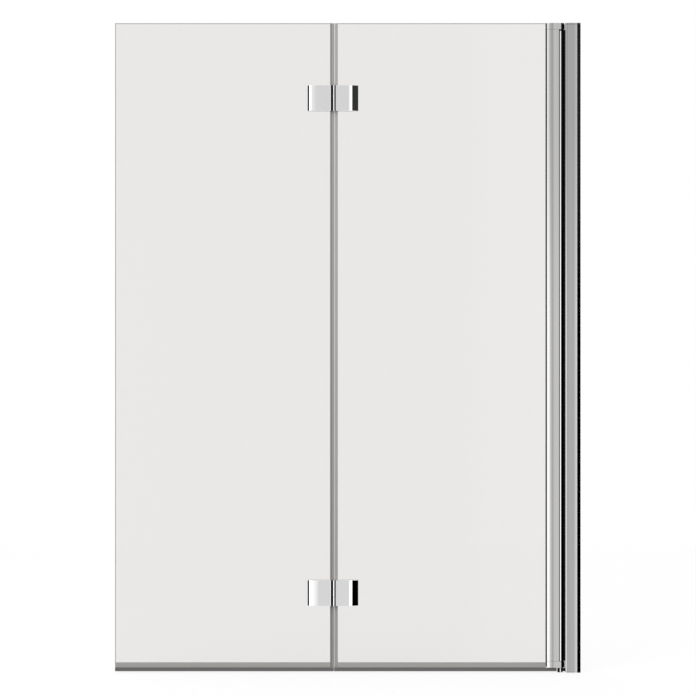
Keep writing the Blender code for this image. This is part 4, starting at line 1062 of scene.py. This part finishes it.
# %% Draw the back plates, rubbers and clamp screws
PLATE, RUBBER_INSET, HOLE_REACH = 5 * MM, 1.5 * MM, (-9 * MM, 12 * MM)
HEAD_RADIUS, HEAD_HEIGHT, HEAD_ROUND, HEAD_BEVEL = 4.4 * MM, 2.7 * MM, 0.5 * MM, 0.15 * MM
PLATE_BACK = PLATE_SEAT + PLATE
HEAD_SEAT = PLATE_BACK - HEAD_HEIGHT - SEAT
SOCKET, SOCKET_DEPTH = 1.6 * MM, 1.35 * MM
SCREW_PROFILE = [
    (HEXAGON, HEAD_HEIGHT - SOCKET_DEPTH), (HEXAGON, HEAD_HEIGHT),
    (HEAD_RADIUS - HEAD_ROUND, HEAD_HEIGHT), (HEAD_RADIUS - HEAD_BEVEL, HEAD_HEIGHT - HEAD_BEVEL),
    (HEAD_RADIUS, HEAD_HEIGHT - HEAD_ROUND), (HEAD_RADIUS, 0),
    (SHANK, 0), (SHANK, -HEAD_SEAT - SEAT - PLATE_SEAT - THREAD),
]


def clamp(place, side):
    """What holds one leaf on its pane: rubber, glass, rubber, back plate and two screws."""
    name, body = f"hinge_{place}_{SIDE_NAMES[side]}", f"{SIDE_NAMES[side]}_leaf"
    middle = HINGE_HEIGHTS[place]
    low, high = middle - HINGE_HEIGHT / 2, middle + HINGE_HEIGHT / 2
    end, edge_x = FOLD_X + side * REACH[side], FOLD_X + side * SLIT
    screws = clamp_places(side, [place])
    left, right = sorted((edge_x + side * (SEAL_LEG + SEAT), end - side * RUBBER_INSET))
    sheet = rounded(left, right, low + RUBBER_INSET, high - RUBBER_INSET, radius=1.5 * MM)
    collars = [
        cylinder("Y", x, 0, z, HOLE_RADIUS - SEAT, -HALF_GLASS, GLASS_SEAT + GASKET / 2) for x, z in screws
    ]
    holes = shank_holes(place, side, *HOLE_REACH)
    for which, near, adds in (("front", -GLASS_SEAT - GASKET, []), ("back", GLASS_SEAT, collars)):
        piece(f"{name}_{which}_rubber", drawn(sheet, "Y", near, near + GASKET, edge=0.2 * MM), body,
              RUBBER, [f"{name}_{which}_gasket"], adds=adds, cuts=holes)
    left, right = sorted((edge_x + side * SEAT, end))
    rooms = [cylinder("Y", x, 0, z, HEAD_RADIUS + SEAT, HEAD_SEAT, PLATE_BACK + MM) for x, z in screws]
    plate = drawn(rounded(left, right, low, high, radius=3 * MM), "Y", PLATE_SEAT, PLATE_BACK, edge=0.6 * MM)
    piece(f"{name}_back_cover", plate, body, CHROME, [f"{name}_back_plate"], cuts=[*rooms, *holes])
    for number, (x, z) in enumerate(screws, start=1):
        screw = turned((x, HEAD_SEAT + SEAT, z), SCREW_PROFILE, "Y", socket=SOCKET, sides=36)
        piece(f"{name}_clamp_screw_{number}", screw, body, STEEL,
              [f"{name}_screw_{number}"])


for place in HINGE_HEIGHTS:
    for side in (1, -1):
        clamp(place, side)
print("clamp screws:", 2 * 2 * len(HINGE_HEIGHTS))

# %% [markdown]
# ## Small fixings
# Domed covers hide the jamb screws at the rear. Those screws, the ones in the caps, and the
# pins, bushes and washer of the pivot are nearly out of sight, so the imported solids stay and
# only get their true finish.

# %% Draw the screw covers and finish the small fixings
COVER_WALL = 1 * MM


def screw_cover(number):
    """A dome (r, h) = (R sin a, H cos a), with its thin shell and the hollow over the screw head."""
    low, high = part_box(f"jamb_screw_cover_{number}")
    centre = ((low.x + high.x) / 2, low.y, (low.z + high.z) / 2)
    radius, rise = (high.x - low.x) / 2, high.y - low.y
    angles = np.linspace(0.04, QUARTER, 16)
    outside = [(radius * math.sin(a), rise * math.cos(a)) for a in angles]
    inside = [((radius - COVER_WALL) * math.sin(a), (rise - COVER_WALL) * math.cos(a)) for a in angles[::-1]]
    return piece(f"jamb_screw_dome_{number}", turned(centre, outside + inside, "Y", sides=40), "jamb",
                 CHROME, [f"jamb_screw_cover_{number}"])


covers = [screw_cover(number) for number in (1, 2, 3)]
KEPT = {"nylon": NYLON, "stainless_steel": STEEL}
KEPT_SLOTS = {"bush": "nylon", "washer": "nylon", "pin": "stainless_steel", "screw": "stainless_steel"}
kept = [obj for obj in frame["nodes"].values() if not obj.hide_render]
for obj in kept:
    slot = next(slot for word, slot in KEPT_SLOTS.items() if word in obj.name)
    for material_slot in obj.material_slots:
        material_slot.material = KEPT[slot]
print("screw covers:", len(covers), "kept as packed:", sorted(obj.name for obj in kept))

# %% [markdown]
# ## Studio
# The screen stands on a pale floor in front of a white sweep. Mirrors show what is around them,
# so the studio is drawn by direction, as sets of upright cards: a broad soft box on the left, a
# grey card behind the camera, a narrower soft box on the right, and dark room beyond them. The
# cards are a little dimmer above eye level and end a little below it, where the room is paler.
# A third set stands behind the screen. Only rays that come off a gloss surface see the cards.
# What looks past or through the screen sees plain white.

# %% Set up the cards
LOW_CARDS = [
    (-90, 0.15), (-75, 0.15), (-66, 0.02), (-47.4, 0.02), (-46.4, 2.0), (-24, 1.9), (-19, 1.15), (-12, 0.97),
    (-6, 0.87), (-3, 0.72), (-1.5, 0.73), (3, 0.76), (3.5, 1.05), (6, 1.08), (12, 1.35), (20, 1.7),
    (22.4, 1.95), (23.9, 0.0), (66, 0.0), (74, 0.22), (90, 0.3),
]
HIGH_CARDS = [
    (-90, 0.15), (-75, 0.15), (-66, 0.03), (-47.4, 0.03), (-46.4, 1.6), (-32, 1.6), (-26, 1.15), (-20, 0.9),
    (-12, 0.76), (-6, 0.72), (3, 0.72), (3.5, 1.0), (6, 1.0), (12, 1.1), (19, 1.25), (22.6, 1.35),
    (24.1, 0.035), (66, 0.035), (74, 0.22), (90, 0.3),
]
BACK_CARDS = [
    (-90, 0.35), (-70, 0.3), (-50, 0.2), (-43, 0.95), (-18, 0.9), (-8, 0.75), (5, 0.7), (8, 0.84), (20, 0.92),
    (24, 0.95), (29, 0.3), (60, 0.16), (84, 0.2), (90, 0.3),
]
EVEN_LIGHT, PALE_ROOM, CEILING, GROUND = 0.8, 0.7, 1.0, 0.85
ABOVE_EYES, BEHIND, BELOW_EYES, OVERHEAD, UNDERFOOT = (
    (0.02, 0.10), (-0.03, 0.03), (-0.16, -0.26), (0.42, 0.60), (-0.35, -0.50),
)


def card_light(tree, turn, cards):
    """The light of a set of cards (azimuth in degrees, light), from an azimuth in radians."""
    brightest = max(light for _, light in cards)
    ramp = node(tree, "ShaderNodeValToRGB", {"Fac": ranged(tree, turn, -QUARTER, QUARTER)})
    stops = ramp.color_ramp.elements
    while len(stops) < len(cards):
        stops.new(1.0)
    for stop, (azimuth, light) in zip(stops, cards):
        stop.position = (azimuth + 90) / 180
        stop.color = (light / brightest, light / brightest, light / brightest, 1)
    return maths(tree, "MULTIPLY", ramp.outputs["Color"], brightest)


def blended(tree, share, first, second):
    """A number that goes from first to second as share goes from 0 to 1."""
    return mixed(tree, share, first, second, "FLOAT")


print("studio cards:", len(LOW_CARDS), "low,", len(HIGH_CARDS), "high and", len(BACK_CARDS), "behind")


# %% Paint the studio by direction
def studio():
    """The world: white to the camera and through glass, even to matt surfaces, cards to mirrors.

    A direction's azimuth is atan2(x, |y|), and the sign of y picks the front or the back cards.
    Its z, the sine of its height, picks between low and high cards, ceiling and ground.
    """
    world = bpy.data.worlds.new("Studio")
    bpy.context.scene.world = world
    world.use_nodes = True
    tree = world.node_tree
    tree.nodes.clear()
    direction = node(tree, "ShaderNodeTexCoord").outputs["Generated"]
    parts = node(tree, "ShaderNodeSeparateXYZ", {0: direction}).outputs
    x, y, z = (parts[axis] for axis in "XYZ")
    turn = maths(tree, "ARCTAN2", x, maths(tree, "ABSOLUTE", y))
    low, high, behind = (card_light(tree, turn, cards) for cards in (LOW_CARDS, HIGH_CARDS, BACK_CARDS))
    front = blended(tree, ranged(tree, z, *ABOVE_EYES), low, high)
    around = blended(tree, ranged(tree, y, *BEHIND), front, behind)
    paler = blended(tree, 0.5, around, PALE_ROOM)
    sunk = blended(tree, ranged(tree, z, *BELOW_EYES), around, paler)
    above = blended(tree, ranged(tree, z, *OVERHEAD), sunk, CEILING)
    cards = blended(tree, ranged(tree, z, *UNDERFOOT), above, GROUND)
    path = node(tree, "ShaderNodeLightPath").outputs
    lit = blended(tree, path["Is Glossy Ray"], EVEN_LIGHT, cards)
    seen = maths(tree, "MAXIMUM", path["Is Camera Ray"], path["Is Transmission Ray"])
    final = blended(tree, seen, lit, 1.0)
    back = node(tree, "ShaderNodeBackground", {"Color": (1, 1, 1, 1), "Strength": final})
    node(tree, "ShaderNodeOutputWorld", {"Surface": back.outputs[0]})
    return world


print("world:", studio().name)

# %% Lay the floor and hang the lamp
FLOOR_X, FLOOR_Y, FLOOR_DROP = (-3.4, 2.4), (-1.6, 3.2), 0.1 * MM
FLOOR_GLOW, FLOOR_COLOUR = 0.81, (0.22, 0.22, 0.22, 1)
LAMP_PLACE, LAMP_SIZE, LAMP_POWER = (-2.0, -3.4, 2.4), 2.6, 42


def pale_floor():
    """A flat sheet under the screen. Its own light fills it up to white, and shadows still show.

    From below it is clear, so that the screen's foot can be looked at from there as well.
    """
    x, y = np.meshgrid(FLOOR_X, FLOOR_Y)
    grid = np.stack([x, y, np.full_like(x, SILL - FLOOR_DROP)], axis=-1).reshape(-1, 3)
    mesh = bpy.data.meshes.new("floor")
    mesh.from_pydata(grid, [], [(0, 1, 3, 2)])
    obj = bpy.data.objects.new("floor", mesh)
    bpy.context.scene.collection.objects.link(obj)
    made = bpy.data.materials.new("pale_floor")
    made.use_nodes = True
    tree = made.node_tree
    tree.nodes.clear()
    path = node(tree, "ShaderNodeLightPath").outputs
    looks = maths(tree, "MAXIMUM", path["Is Camera Ray"], path["Is Glossy Ray"])
    looks = maths(tree, "MAXIMUM", looks, path["Is Transmission Ray"])
    glow = maths(tree, "MULTIPLY", looks, FLOOR_GLOW)
    matt = node(tree, "ShaderNodeBsdfDiffuse", {"Color": FLOOR_COLOUR}).outputs[0]
    light = node(tree, "ShaderNodeEmission", {"Color": (1, 1, 1, 1), "Strength": glow}).outputs[0]
    both = node(tree, "ShaderNodeAddShader", {0: matt, 1: light}).outputs[0]
    below = node(tree, "ShaderNodeNewGeometry").outputs["Backfacing"]
    clear = node(tree, "ShaderNodeBsdfTransparent").outputs[0]
    open_below = node(tree, "ShaderNodeMixShader", {0: below, 1: both, 2: clear})
    node(tree, "ShaderNodeOutputMaterial", {"Surface": open_below.outputs[0]})
    mesh.materials.append(made)
    return obj


floor = pale_floor()
floor.visible_glossy = False

lamp_data = bpy.data.lights.new("soft_lamp", "AREA")
lamp_data.shape, lamp_data.size, lamp_data.energy = "DISK", LAMP_SIZE, LAMP_POWER
lamp = bpy.data.objects.new("soft_lamp", lamp_data)
bpy.context.scene.collection.objects.link(lamp)
lamp.location = LAMP_PLACE
lamp.rotation_mode = "QUATERNION"
lamp.rotation_quaternion = (lamp.location - (CAD_BOX[0] + CAD_BOX[1]) / 2).to_track_quat("Z", "Y")
lamp.visible_glossy = lamp.visible_transmission = lamp.visible_camera = False
print("floor at", round(floor.data.vertices[0].co.z, 4), "lamp", lamp_data.energy, "W")

# %% [markdown]
# ## Camera
# The photograph looks at the screen squarely, with hardly any perspective: the front of the
# channel and the pane behind it end at the same height. So the camera stands far back with a
# long lens, level with the middle, and is not tilted.

# %% Place the camera
FRAME_WIDTH, DISTANCE, SENSOR_WIDTH = 1.49988, 5.0, 36
AIM_X, AIM_Y, AIM_Z = -0.5010, -0.008, -0.0005
view = bpy.data.cameras.new("photo_camera")
view.sensor_width = SENSOR_WIDTH
view.lens = SENSOR_WIDTH * DISTANCE / FRAME_WIDTH
view.dof.use_dof = False
camera = bpy.data.objects.new("photo_camera", view)
bpy.context.scene.collection.objects.link(camera)
camera.location = (AIM_X, AIM_Y - DISTANCE, AIM_Z)
camera.rotation_euler = (QUARTER, 0, 0)
bpy.context.scene.camera = camera
bpy.context.scene.view_settings.view_transform = "Standard"
print("lens", round(view.lens, 1), "mm at", DISTANCE, "m")
